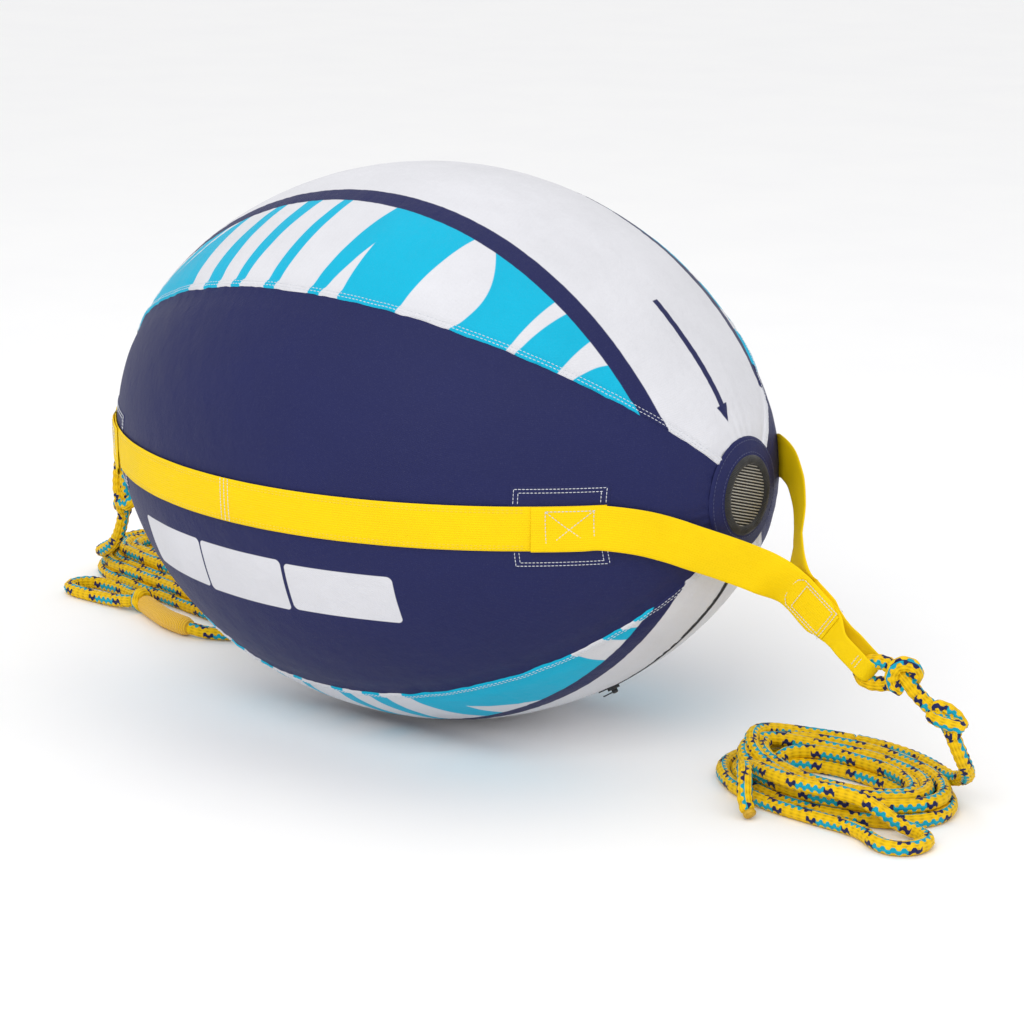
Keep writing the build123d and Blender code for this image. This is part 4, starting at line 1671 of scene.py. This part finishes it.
@dataclass
class TowRope:
    """One end's rope: hitched to its loop, knotted, led down to its coil and on to its eye."""

    end: str
    frame: Frame
    skin: RopeSkin
    hitch_route: tuple[Triple, ...]
    knot_at: Triple
    lead_route: tuple[Triple, ...]
    lead_length: float
    coil_length: float
    knot_length: float = 0.047
    knot_radius: float = 0.0165
    coil_centre: Pair = (0.0, 0.0)
    coil_turn: float = 0.0

    def tied(self) -> list[Piece]:
        """The hitch and the stopper knot that hold the lead."""
        return [bpy.data.objects[self.end + tail] for tail in ("_hitch_rope", "_stopper_knot")]

    def on_coil(self, x: float, y: float, height: float) -> Triple:
        """A point of the coil, in millimetres, from its place in the coil's own directions."""
        swing = math.radians(self.coil_turn)
        ahead = self.coil_centre[0] + x * math.cos(swing) - y * math.sin(swing)
        return ahead, self.coil_centre[1] + x * math.sin(swing) + y * math.cos(swing), height

    def coil_route(self) -> list[Triple]:
        """The coil's steering points, in millimetres."""
        raise NotImplementedError

    def end_route(self) -> list[Triple]:
        """The steering points after the coil, in millimetres."""
        raise NotImplementedError

    def build_common(self, finishes: Finishes) -> tuple[list[Vector], float]:
        """Makes the hitch, the knot and the lead.

        Args:
            finishes: The materials by name.

        Returns:
            The whole path of lead, coil and what follows, and the lead's length.
        """
        body = self.end + "_bridle"
        hitch_path = even(smooth_route([tuple(self.frame.spot(*p)) for p in self.hitch_route], 16), 0.0014)
        hitch = self.skin.tube(self.end + "_hitch_rope", hitch_path, 40, 0.0016, tip=0.004)
        dress(hitch, finishes["rope"], "tow_rope", body, self.end + "_rope_hitch")
        centre = Vector(self.knot_at) * MM
        axis = (self.frame.along + self.frame.wide * 0.15).normalized()
        strand = self.skin.diameter * 0.44
        knot_path = even(overhand(centre, axis, self.knot_length, self.knot_radius, strand), 0.0014)
        knot = self.skin.tube(self.end + "_stopper_knot", knot_path, 36, 0.0014, 0.3, strand, 0.003)
        dress(knot, finishes["rope"], "tow_rope", body, self.end + "_rope_knot")
        route = [tuple(v * MM for v in p) for p in (*self.lead_route, *self.coil_route(), *self.end_route())]
        path = smooth_route(route, 12)
        lead_path = cut(path, 0.0, self.lead_length)
        real = float(reach(lead_path)[-1])
        lead = self.skin.tube(self.end + "_lead_rope", even(lead_path, 0.0015), 40, 0.0016)
        dress(lead, finishes["rope"], "tow_rope", "", self.end + "_rope")
        return path, real


@dataclass
class FrontRope(TowRope):
    """The long rope at the front, in a loose round coil with its bight lying beside it."""

    coil_centre: Pair = (558.0, 20.0)
    semi_axes: Pair = (132.0, 80.0)
    coil_turn: float = -8.0
    offsets: tuple[float, ...] = (15.0, -19.0, 2.0, -34.0, -42.0, -25.5, -8.7, 8.7, 26.0)
    humps: tuple[float, ...] = (15.0, 9.0, 6.0, 0.0, 0.0, 0.0, 0.0, 0.0)
    heights: tuple[float, ...] = (24.5, 23.5, 23.0, 22.4, 8.3, 8.3, 8.3, 8.3, 8.3)
    first_turn: float = 45.0
    last_turn: float = 2820.0
    step: float = 24.0

    def coil_route(self) -> list[Triple]:
        """The coil's steering points, turn by turn, in millimetres."""
        points: list[Triple] = []
        levels = list(range(len(self.offsets)))
        for turned in np.arange(self.first_turn, self.last_turn, self.step):
            level = hump = 0.0
            for later, rise in enumerate(self.humps):
                share = min(1.0, max(0.0, (turned - 120 - 360 * later) / 130))
                level += eased(share)
                hump += rise * math.sin(math.pi * share) ** 2
            offset = float(np.interp(level, levels, self.offsets))
            height = float(np.interp(level, levels, self.heights))
            angle = math.radians(turned)
            left = max(0.0, -math.cos(angle)) ** 3
            shared = 3.5 * noise.noise(Vector((math.cos(angle) * 1.3, math.sin(angle) * 1.3, 5.0)))
            own = 4.2 * noise.noise(Vector((turned / 75, 1.0, 9.0)))
            offset += shared + own
            height += hump + 2.0 * left * (1 if height > 15 else 0)
            x = (self.semi_axes[0] + offset) * math.cos(angle)
            y = (self.semi_axes[1] + offset) * math.sin(angle)
            points.append(self.on_coil(x, y, height))
        return points

    def end_route(self) -> list[Triple]:
        """The bight beside the coil, and the end laid back over it, in millimetres."""
        return [
            (648, -90, 8.3), (680, -113, 8.3), (704, -117, 8.3), (723, -100, 8.3), (724, -74, 8.3),
            (706, -60, 8.3), (684, -66, 14), (662, -72, 28), (636, -74, 38), (604, -78, 40),
            (570, -80, 39), (536, -74, 39), (508, -62, 37), (486, -46, 33), (470, -28, 24),
        ]

    def build(self, finishes: Finishes) -> None:
        """Makes and dresses the rope.

        Args:
            finishes: The materials by name.
        """
        path, lead_real = self.build_common(finishes)
        lead = bpy.data.objects[self.end + "_lead_rope"]
        lead_path = cut(path, 0.0, self.lead_length)
        rest = cut(path, lead_real, 99.0)
        coil = self.skin.tube("front_coil_rope", rest, 20, 0.0009, lead_real, tip=0.004)
        dress(coil, finishes["rope"], "tow_rope", "ball", "front_rope_coil", "front_rope_eye")
        LOG.info("front lengths: %.3f %.3f", lead_real, reach(rest)[-1])
        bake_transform(lead)
        tied = self.tied()
        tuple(lead_path[0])
        route = [
            (470, -48, 27), (484, -66, 38), (497, -84, 41), (508, -102, 32), (516, -113, 16),
            (524, -117, 8.6)
        ]
        wrap_path = even(smooth_route([tuple(v * MM for v in p) for p in route], 14), 0.0014)
        wrap = self.skin.tube("front_wrap_rope", wrap_path, 36, 0.0016, 0.13, tip=0.004)
        dress(wrap, finishes["rope"], "tow_rope", "ball", "front_rope_wrap")
        last = wrap_path[-1]
        way = tangents(wrap_path)[-1]
        tip_path = [last - way * 0.003, last + way * 0.002, last + way * 0.006]
        tip = self.skin.tube(
            "front_wrap_tip", even(tip_path, 0.001), 24, 0.0006, 0.0, self.skin.diameter * 0.44, 0.003
        )
        dress(tip, finishes["tip"], "tow_rope", "ball")
        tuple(rest[0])


@dataclass
class RearRope(TowRope):
    """The longer rope at the rear, in a long flat coil that ends in a spliced eye."""

    coil_centre: Pair = (-522.0, 191.0)
    half_straight: float = 150.0
    cap_radius: float = 60.0
    coil_turn: float = -12.0
    offsets: tuple[float, ...] = (16.5, 0.0, -16.5, -25.0, -8.2, 8.2, 25.0, 33.0, 16.5, 0.0, -16.5, -33.0)
    heights: tuple[float, ...] = (36.0, 35.8, 35.6, 21.9, 21.9, 21.9, 21.9, 8.3, 8.3, 8.3, 8.3, 8.3)
    splice_radius: float = 0.0125
    eye_length: float = 0.32

    def coil_route(self) -> list[Triple]:
        """The coil's steering points, turn by turn, in millimetres."""
        caps = (-110.0, -145.0, -180.0, -215.0, -250.0)
        straight = (-100.0, 0.0, 100.0)
        points: list[Triple] = []
        levels = list(range(len(self.offsets)))
        turns = len(self.offsets)
        for turned in range(turns):
            for number in range(16):
                if (turned == 0 and number < 1) or (turned == turns - 1 and number > 11):
                    continue
                level = turned + (eased((number - 8) / 4) if turned < turns - 1 else 0.0)
                own = 2.0 * noise.noise(Vector((turned * 1.7 + number * 0.21, 3.0, 1.0)))
                shared = 3.0 * noise.noise(Vector((number * 0.5, 7.0, 2.0)))
                radius = self.cap_radius + float(np.interp(level, levels, self.offsets)) + own + shared
                if number < 5:
                    angle = math.radians(caps[number])
                    x, y = -self.half_straight + radius * math.cos(angle), radius * math.sin(angle)
                elif number < 8:
                    x, y = straight[number - 5], radius
                elif number < 13:
                    angle = math.radians(caps[number - 8] + 180)
                    x, y = self.half_straight + radius * math.cos(angle), radius * math.sin(angle)
                else:
                    x, y = -straight[number - 13], -radius
                height = float(np.interp(level, levels, self.heights))
                points.append(self.on_coil(x, y, height))
        return points

    def end_route(self) -> list[Triple]:
        """The tail from the coil into the splice, in millimetres."""
        return [
            (-330, 95, 20), (-342, 62, 13), (-366, 34, 9), (-398, 16, 8.3), (-430, 9, 13),
            (-465, 15, 13.2), (-505, 32, 13.2), (-540, 50, 14), (-556, 60, 15),
        ]

    def splice(self) -> Piece:
        """The served splice, with its threads laid along it."""
        route = [(-424, 9, 13.1), (-465, 15, 13.1), (-505, 32, 13.1), (-552, 55, 13.4)]
        path = even(smooth_route([tuple(v * MM for v in p) for p in route], 14), 0.0025)
        supports, ways, runs = carried(path, UP), tangents(path), reach(path)
        sides, ribs = 132, 22
        rings: list[list[Vector]] = []
        for point, support, way, run in zip(path, supports, ways, runs):
            other = way.cross(support)
            end = min(run, runs[-1] - run)
            size = 0.0084 + (self.splice_radius - 0.0084) * min(1.0, end / 0.012) ** 0.6
            ring = []
            for side in range(sides):
                turn = 2 * math.pi * side / sides
                rib = 0.00055 * abs(math.sin(turn * ribs / 2 + 3 * noise.noise(Vector((run * 20, 0, 0)))))
                ring.append(
                    point + (support * math.cos(turn) + other * math.sin(turn)) * (size - 0.0004 + rib)
                )
            rings.append(ring)
        piece = skinned(
            "rear_splice_sleeve", np.array(rings), runs,
            np.linspace(0, 2 * math.pi * self.splice_radius, sides + 1)
        )
        soften(piece, 70)
        return piece

    def build(self, finishes: Finishes) -> None:
        """Makes and dresses the rope.

        Args:
            finishes: The materials by name.
        """
        path, lead_real = self.build_common(finishes)
        lead = bpy.data.objects[self.end + "_lead_rope"]
        lead_path = cut(path, 0.0, self.lead_length)
        rest = cut(path, lead_real, 99.0)
        coil = self.skin.tube("rear_coil_rope", rest, 12, 0.0007, lead_real)
        dress(coil, finishes["rope"], "tow_rope", "ball", "rear_rope_coil", "rear_rope_tail")
        LOG.info("rear lengths: %.3f %.3f", lead_real, reach(rest)[-1])
        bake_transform(lead)
        tied = self.tied()
        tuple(lead_path[0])
        sleeve = dress(self.splice(), finishes["splice"], "tow_rope", "ball", "rear_rope_splice")
        route = [
            (-556, 60, 15), (-570, 68, 14), (-596, 82, 9.5), (-626, 94, 8.3), (-662, 99, 8.3),
            (-690, 98, 8.3),
            (-704, 86, 8.3), (-704, 66, 8.3), (-690, 54, 8.3), (-660, 50, 8.3), (-628, 50, 8.3),
            (-596, 48, 10), (-566, 50, 14),
        ]
        eye_path = smooth_route([tuple(v * MM for v in p) for p in route], 24)
        eye = self.skin.tube("rear_eye_rope", even(eye_path, 0.0015), 40, 0.0016, tip=0.004)
        dress(eye, finishes["rope"], "tow_rope", "ball", "rear_rope_eye")
        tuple(eye_path[0])
        middle, axis = Vector((-0.558, 0.057, 0.0163)), Vector((-0.92, 0.38, 0.0)).normalized()
        side = axis.cross(UP).normalized()
        loop = []
        for step in range(61):
            turn = math.radians(-230 + 460 * step / 60)
            loop.append(
                middle + axis * (0.018 * (step / 60 - 0.5)) + (
                    UP * math.cos(turn) + side * math.sin(turn)
                ) * 0.0085
            )
        hitch = self.skin.tube(
            "rear_half_hitch_rope", even(loop, 0.0014), 36, 0.0014, 0.5, self.skin.diameter * 0.46, 0.004
        )
        dress(hitch, finishes["rope"], "tow_rope", "ball", "rear_rope_half_hitch")
        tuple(rest[0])


# ---------------------------------------------------------------- zipper and valve


@dataclass
class Zipper:
    """The zipper under the belly: its tape and its two rows of teeth."""

    ball: TowBall
    start: float = 0.240
    stop: float = 0.424
    tape_width: float = 0.011
    tooth_gap: float = 0.0021

    def build(self, finishes: Finishes) -> None:
        """Makes and dresses the tape and the teeth.

        Args:
            finishes: The materials by name.
        """
        first, last = self.ball.run_at(self.start), self.ball.run_at(self.stop)

        def place(u: float, v: float) -> Vector:
            run = first + (last - first) * u
            away = self.ball.station(run, 0.0)[1]
            across = (v - 0.5) * self.tape_width
            edge = min(u, 1 - u, v, 1 - v)
            lift = 0.0006 * min(1.0, edge / 0.02) + 0.0002 * noise.noise(Vector((run * 90, v, 0)))
            return self.ball.point(run, math.pi + across / away, lift)

        def laid(u: float, v: float) -> Pair:
            return (last - first) * u, self.tape_width * v

        tape = draped(
            "zip_tape_cloth", 260, 12, place, {"along": laid}, Vector((0, 0, self.ball.middle_height))
        )
        dress(tape, finishes["zip_tape"], "zip_tape", "ball", "zip_tape")
        teeth: list[Stitch] = []
        for number, run in enumerate(np.arange(first + 0.005, last - 0.005, self.tooth_gap / 2)):
            away = self.ball.station(float(run), 0.0)[1]
            way = 1 if number % 2 else -1
            turn = math.pi + way * 0.0009 / away
            out = self.ball.out(float(run), turn)
            teeth.append((self.ball.point(float(run), turn, 0.0010), out.cross(Vector((1, 0, 0))), out))
        coil = stitched("zip_teeth", teeth, 0.0036, 0.0012, 0.0009)
        dress(coil, finishes["zip_coil"], "zip_coil", "ball", "zip_coil")


CAD_FINISHES = {
    "bladder": ("film", "bladder_film"),
    "valve_base": ("moulded", "valve_plastic"),
    "valve_cap": ("moulded", "valve_plastic"),
    "valve_flap": ("rubber", "valve_rubber"),
    "zip_slider": ("lacquer", "zip_metal"),
    "zip_pull": ("lacquer", "zip_metal"),
    "zip_stops": ("lacquer", "zip_metal"),
}


def dress_cad_nodes(finishes: Finishes) -> None:
    """Gives the carried-over solids their materials.

    Args:
        finishes: The materials by name.
    """
    for node, (finish, slot) in CAD_FINISHES.items():
        piece = bpy.data.objects[node]
        piece.data.materials.clear()
        piece.data.materials.append(finishes[finish])
        LOG.info("node %s: %s", node, finish)


# ---------------------------------------------------------------- studio


@dataclass
class Studio:
    """A plain pale floor, soft lights and the camera."""

    camera_at: Triple = (2.181, -2.725, 1.159)
    camera_way: Triple = (-0.585, 0.770, -0.255)
    lens: float = 105.47
    sensor: float = 36.0
    floor_size: float = 30.0
    sky: float = 0.94
    lamps: tuple[tuple[str, Triple, float, float], ...] = (
        ("key_light", (1.4, -3.0, 3.0), 2.4, 62.0),
        ("fill_light", (-3.0, -1.8, 1.6), 2.6, 4.0),
        ("top_light", (-0.2, 0.6, 3.6), 3.0, 10.0),
    )

    def lamp(self, name: str, at: Triple, size: float, power: float) -> None:
        """Hangs one soft square light that faces the ball."""
        light = bpy.data.lights.new(name, "AREA")
        light.shape = "SQUARE"
        light.size = size
        light.energy = power
        holder = bpy.data.objects.new(name, light)
        holder.location = at
        aim = Vector((0.0, 0.0, 0.3)) - Vector(at)
        holder.rotation_euler = aim.to_track_quat("-Z", "Y").to_euler()
        bpy.context.scene.collection.objects.link(holder)

    def build(self) -> None:
        """Sets up the floor, the lights, the sky and the camera."""
        scene = bpy.context.scene
        scene.view_settings.view_transform = "Standard"
        deselect_all()
        bpy.ops.mesh.primitive_plane_add(size=self.floor_size)
        floor = bpy.context.object
        floor.name = "studio_floor"
        white = PlainFinish("pale_floor", (0.93, 0.93, 0.94, 1), (0.96, 0.96, 0.96, 1), 0.85, 3.0, 0.0001)
        floor.data.materials.append(white.material())
        world = bpy.data.worlds.new("sky")
        world.use_nodes = True
        sky = next(node for node in world.node_tree.nodes if node.type == "BACKGROUND")
        sky.inputs[0].default_value = (1.0, 1.0, 1.0, 1.0)
        sky.inputs[1].default_value = self.sky
        scene.world = world
        for lamp in self.lamps:
            self.lamp(*lamp)
        eye = bpy.data.cameras.new("view")
        eye.lens = self.lens
        eye.sensor_width = self.sensor
        camera = bpy.data.objects.new("view", eye)
        camera.location = self.camera_at
        camera.rotation_euler = Vector(self.camera_way).to_track_quat("-Z", "Y").to_euler()
        scene.collection.objects.link(camera)
        scene.camera = camera


TOP_STROKES = (
    Stroke((-0.470, -0.060, 0.0), (-0.430, -0.080, 0.0)),
    Stroke((-0.385, -0.090, 0.0), (-0.335, -0.120, 0.0)),
    Stroke((-0.300, -0.120, 0.0), (-0.262, -0.150, 0.0)),
    Stroke((-0.215, -0.150, 0.0), (-0.195, -0.190, 0.0)),
    Stroke((-0.178, -0.055, 0.035), (-0.135, -0.060, 0.030)),
    Stroke((-0.117, -0.045, 0.025), (-0.085, -0.035, 0.010)),
    Stroke((-0.062, -0.042, 0.010), (-0.030, -0.033, 0.010)),
    Stroke((-0.016, -0.025, 0.005), (0.048, -0.042, 0.008)),
    Stroke((0.0828, -0.053, 0.0), (0.0634, -0.008, 0.0)),
    Stroke((0.161, -0.038, 0.008), (0.192, 0.088, -0.084)),
    Stroke((0.282, -0.018, 0.0), (0.300, -0.026, 0.0)),
    Stroke((0.339, -0.014, 0.0), (0.369, -0.026, 0.0)),
)

BOTTOM_STROKES = (
    Stroke((-0.330, 0.060, 0.0), (-0.290, 0.050, 0.0)),
    Stroke((-0.250, 0.050, 0.0), (-0.196, 0.030, 0.0)),
    Stroke((-0.150, 0.010, 0.0), (-0.118, 0.010, 0.0)),
    Stroke((-0.096, 0.010, 0.0), (-0.052, 0.0, 0.0)),
    Stroke((-0.038, 0.0, 0.0), (0.022, -0.015, 0.0)),
    Stroke((0.047, -0.022, 0.0), (0.085, -0.033, 0.0)),
    Stroke((0.099, -0.022, 0.0), (0.153, -0.046, 0.0)),
    Stroke((0.180, -0.029, 0.0), (0.240, -0.141, 0.0)),
    Stroke((0.346, -0.020, 0.0), (0.384, -0.018, 0.0)),
    Stroke((0.404, -0.014, 0.0), (0.418, -0.012, 0.0)),
)


PANELS = (
    (-0.228, -0.104, 0.1945, 0.2560),
    (-0.101, 0.029, 0.1925, 0.2555),
    (0.034, 0.166, 0.1950, 0.2525),
)


def thread_finish(name: str, colour: Colour, other: Colour) -> PlainFinish:
    """Sewing thread of one colour."""
    return PlainFinish(name, colour, other, 0.6, 900.0, 0.0002, sheen=0.2)


def make_finishes(diameter: float) -> Finishes:
    """Makes every material once.

    Args:
        diameter: The rope's diameter.

    Returns:
        The materials by name.
    """
    dark, grey = dye(16, 16, 18), dye(60, 60, 64)
    stuffs = {
        "top_print": CoverFinish("top_print", 0.110, 0.135, TOP_STROKES, True),
        "bottom_print": CoverFinish("bottom_print", 0.080, 0.105, BOTTOM_STROKES),
        "navy_cover": CoverFinish("navy_cover"),
        "panel_cover": CoverFinish("panel_cover", panels=PANELS),
        "webbing": WebbingFinish("yellow_webbing"),
        "rope": RopeFinish("braided_rope", diameter),
        "splice": RibbedFinish("splice_yarn", dye(238, 190, 10), dye(196, 136, 0), 0.0034),
        "tip": PlainFinish("melted_tip", dye(214, 168, 10), dye(150, 112, 10), 0.5, 300.0, 0.0006),
        "pale_thread": thread_finish("pale_thread", dye(222, 224, 226), dye(180, 184, 196)),
        "yellow_thread": thread_finish("yellow_thread", dye(240, 214, 40), dye(214, 178, 10)),
        "navy_thread": thread_finish("navy_thread", dye(70, 76, 120), dye(40, 46, 90)),
        "binding": RibbedFinish("binding_tape", dye(12, 12, 13), dye(30, 29, 30), 0.0018),
        "vent_dark": PlainFinish("vent_dark", dye(22, 21, 20), dye(36, 34, 31), 0.8, 400.0, 0.0004),
        "vent_thread": PlainFinish("vent_thread", dye(190, 186, 176), dye(140, 136, 126), 0.5, 800.0, 0.0002),
        "vent_tie": PlainFinish("vent_tie", dye(70, 68, 62), dye(50, 48, 44), 0.6, 800.0, 0.0002),
        "zip_tape": RibbedFinish("zip_tape_weave", dark, grey, 0.0014),
        "zip_coil": PlainFinish("zip_nylon", dye(28, 28, 32), dye(50, 50, 54), 0.35, 500.0, 0.0001),
        "film": PlainFinish("vinyl_film", dye(30, 30, 33), dye(44, 44, 48), 0.3, 60.0, 0.0008),
        "moulded": PlainFinish("moulded_plastic", dye(30, 30, 33), dye(40, 40, 44), 0.42, 260.0, 0.0002),
        "rubber": PlainFinish("soft_rubber", dye(34, 34, 34), dye(48, 48, 48), 0.75, 320.0, 0.0003),
        "lacquer": PlainFinish(
            "black_lacquer", dye(26, 26, 28), dye(58, 58, 60), 0.32, 420.0, 0.0001, metal=0.4
        ),
    }
    return {key: stuff.material() for key, stuff in stuffs.items()}


def front_frame() -> Frame:
    """The front loop's directions."""
    meeting = Vector((0.503, 0.0, 0.2332))
    return Frame(meeting, Vector((0.7986, 0, -0.6018)), Vector((0.6018, 0, 0.7986)), Vector((0, 1, 0)))


def rear_frame() -> Frame:
    """The rear loop's directions."""
    meeting = Vector((-0.573, 0.058, 0.2732))
    along, wide = Vector((-0.500, 0.420, -0.757)), Vector((-0.579, 0.486, 0.653))
    return Frame(meeting, along.normalized(), wide.normalized(), Vector((-0.642, -0.765, 0.0)).normalized())


def rising(*points: Triple) -> tuple[Station, ...]:
    """Stations whose webbing stands upright."""
    return tuple((point, UPRIGHT) for point in points)


def leaning(wide: Vector, *points: Triple) -> tuple[Station, ...]:
    """Stations whose webbing is as wide as a loop's own direction."""
    return tuple((point, tuple(wide)) for point in points)


def build_harness(ball: TowBall, finishes: Finishes) -> None:
    """Sews the straps and the bridles.

    Args:
        ball: The ball that they go round.
        finishes: The materials by name.
    """
    webbing = Webbing()
    straps = {flank: SewnStrap(ball, flank, webbing) for flank in Flank}
    for strap in straps.values():
        strap.build(finishes)
    front, rear = front_frame(), rear_frame()
    front_arms = {
        Flank.NEAR: rising(
            (366, -171.5, 316), (394, -142, 308), (413, -114, 297), (430, -92, 286), (455, -60, 270),
            (480, -28, 252)
        )
        + leaning(front.wide, (503, -4.7, 233.2), (530, -4.7, 212.9), (552.5, -4.7, 195.9)),
        Flank.FAR: rising((366, 171.5, 320), (382, 150, 331), (398, 124, 343), (420, 100, 350))
        + (
            ((446, 80, 343), (0.25, -0.15, 1)), ((468, 59, 326), (0.45, -0.30, 0.9)),
            ((482, 41, 304), (0.60, -0.50, 0.7))
        )
        + (((491, 24, 280), (0.62, -0.70, 0.36)), ((499, 11, 256), (0.66, -0.42, 0.62)))
        + leaning(front.wide, (509, 5.4, 231), (530, 4.7, 212.9), (552.5, 4.7, 195.9)),
    }
    rear_arms = {
        Flank.NEAR: rising(
            (-366, -171.5, 316), (-394, -143, 312), (-420, -115, 308), (-447, -84, 303), (-480, -45, 295),
            (-514, -6, 288), (-543, 34, 281)
        )
        + leaning(rear.wide, (-580, 57.5, 267.1), (-593, 68.4, 247.5), (-607, 80.2, 226.3)),
        Flank.FAR: rising(
            (-366, 153 + 18.5, 316), (-394, 153, 318), (-422, 140, 322), (-450, 128, 324), (-490, 110, 320)
        )
        + (((-530, 90, 305), (-0.2, 0.15, 1)),)
        + leaning(rear.wide, (-560, 72, 285), (-574, 64.6, 267.1), (-587, 75.6, 247.5), (-601, 87.4, 226.3)),
    }
    Bridle("front", front, front_arms, straps, webbing).build(finishes)
    Bridle("rear", rear, rear_arms, straps, webbing).build(finishes)


def build_ropes(skin: RopeSkin, finishes: Finishes) -> None:
    """Ties and lays both ropes.

    Args:
        skin: The rope that both are made of.
        finishes: The materials by name.
    """
    front_hitch = (
        (224, 26, 0), (206, 22, 1), (190, 20, 2), (174, 22, 0), (160, 26, -3), (146, 25, -3), (132, 19, -1),
        (121, 8, 0),
        (115, -4, 0), (118, -16, 1), (129, -18, 3), (141, -10, 5), (151, 2, 7), (161, 15, 8), (168, 29, 6),
        (165, 41, 1),
        (155, 44, -6), (147, 36, -12), (150, 22, -13), (160, 12, -9), (168, 14, -2),
    )
    rear_hitch = (
        (178, -24, 0), (172, -24, 1), (164, -24, 0), (152, -27, -3), (142, -26, -3), (130, -19, -1),
        (121, -8, 0),
        (115, 4, 0), (118, 16, 1), (129, 18, 3), (140, 10, 5), (149, -2, 7), (157, -14, 8), (163, -28, 6),
        (160, -40, 1),
        (150, -43, -6), (143, -35, -12), (146, -21, -13), (155, -12, -9), (162, -14, -2),
    )
    FrontRope(
        end="front", frame=front_frame(), skin=skin, hitch_route=front_hitch, knot_at=(699, 0, 119),
        lead_route=((699, 0, 119), (703, 1, 108), (712, 7, 82), (713, 24, 58), (702, 46, 42), (682, 66, 30)),
        lead_length=0.30, coil_length=4.77,
    ).build(finishes)
    RearRope(
        end="rear", frame=rear_frame(), skin=skin, hitch_route=rear_hitch, knot_at=(-648, 121, 123),
        lead_route=(
            (-648, 121, 123), (-650, 122, 112), (-655, 122, 92), (-666, 124, 70), (-684, 128, 54),
            (-704, 134, 43), (-722, 144, 38)
        ),
        lead_length=0.30, coil_length=11.25, knot_length=0.046,
    ).build(finishes)


def main() -> None:
    """Builds the whole object and its studio."""
    Studio().build()
    skin = RopeSkin()
    finishes = make_finishes(skin.diameter)
    LOG.info("finishes: %d", len(finishes))
    build_ropes(skin, finishes)
    ball = TowBall()
    ball.build(finishes)
    for side in (1, -1):
        EndCap(ball, side).build(finishes)
    build_harness(ball, finishes)
    Zipper(ball).build(finishes)
    dress_cad_nodes(finishes)


if __name__ == "__main__":
    main()
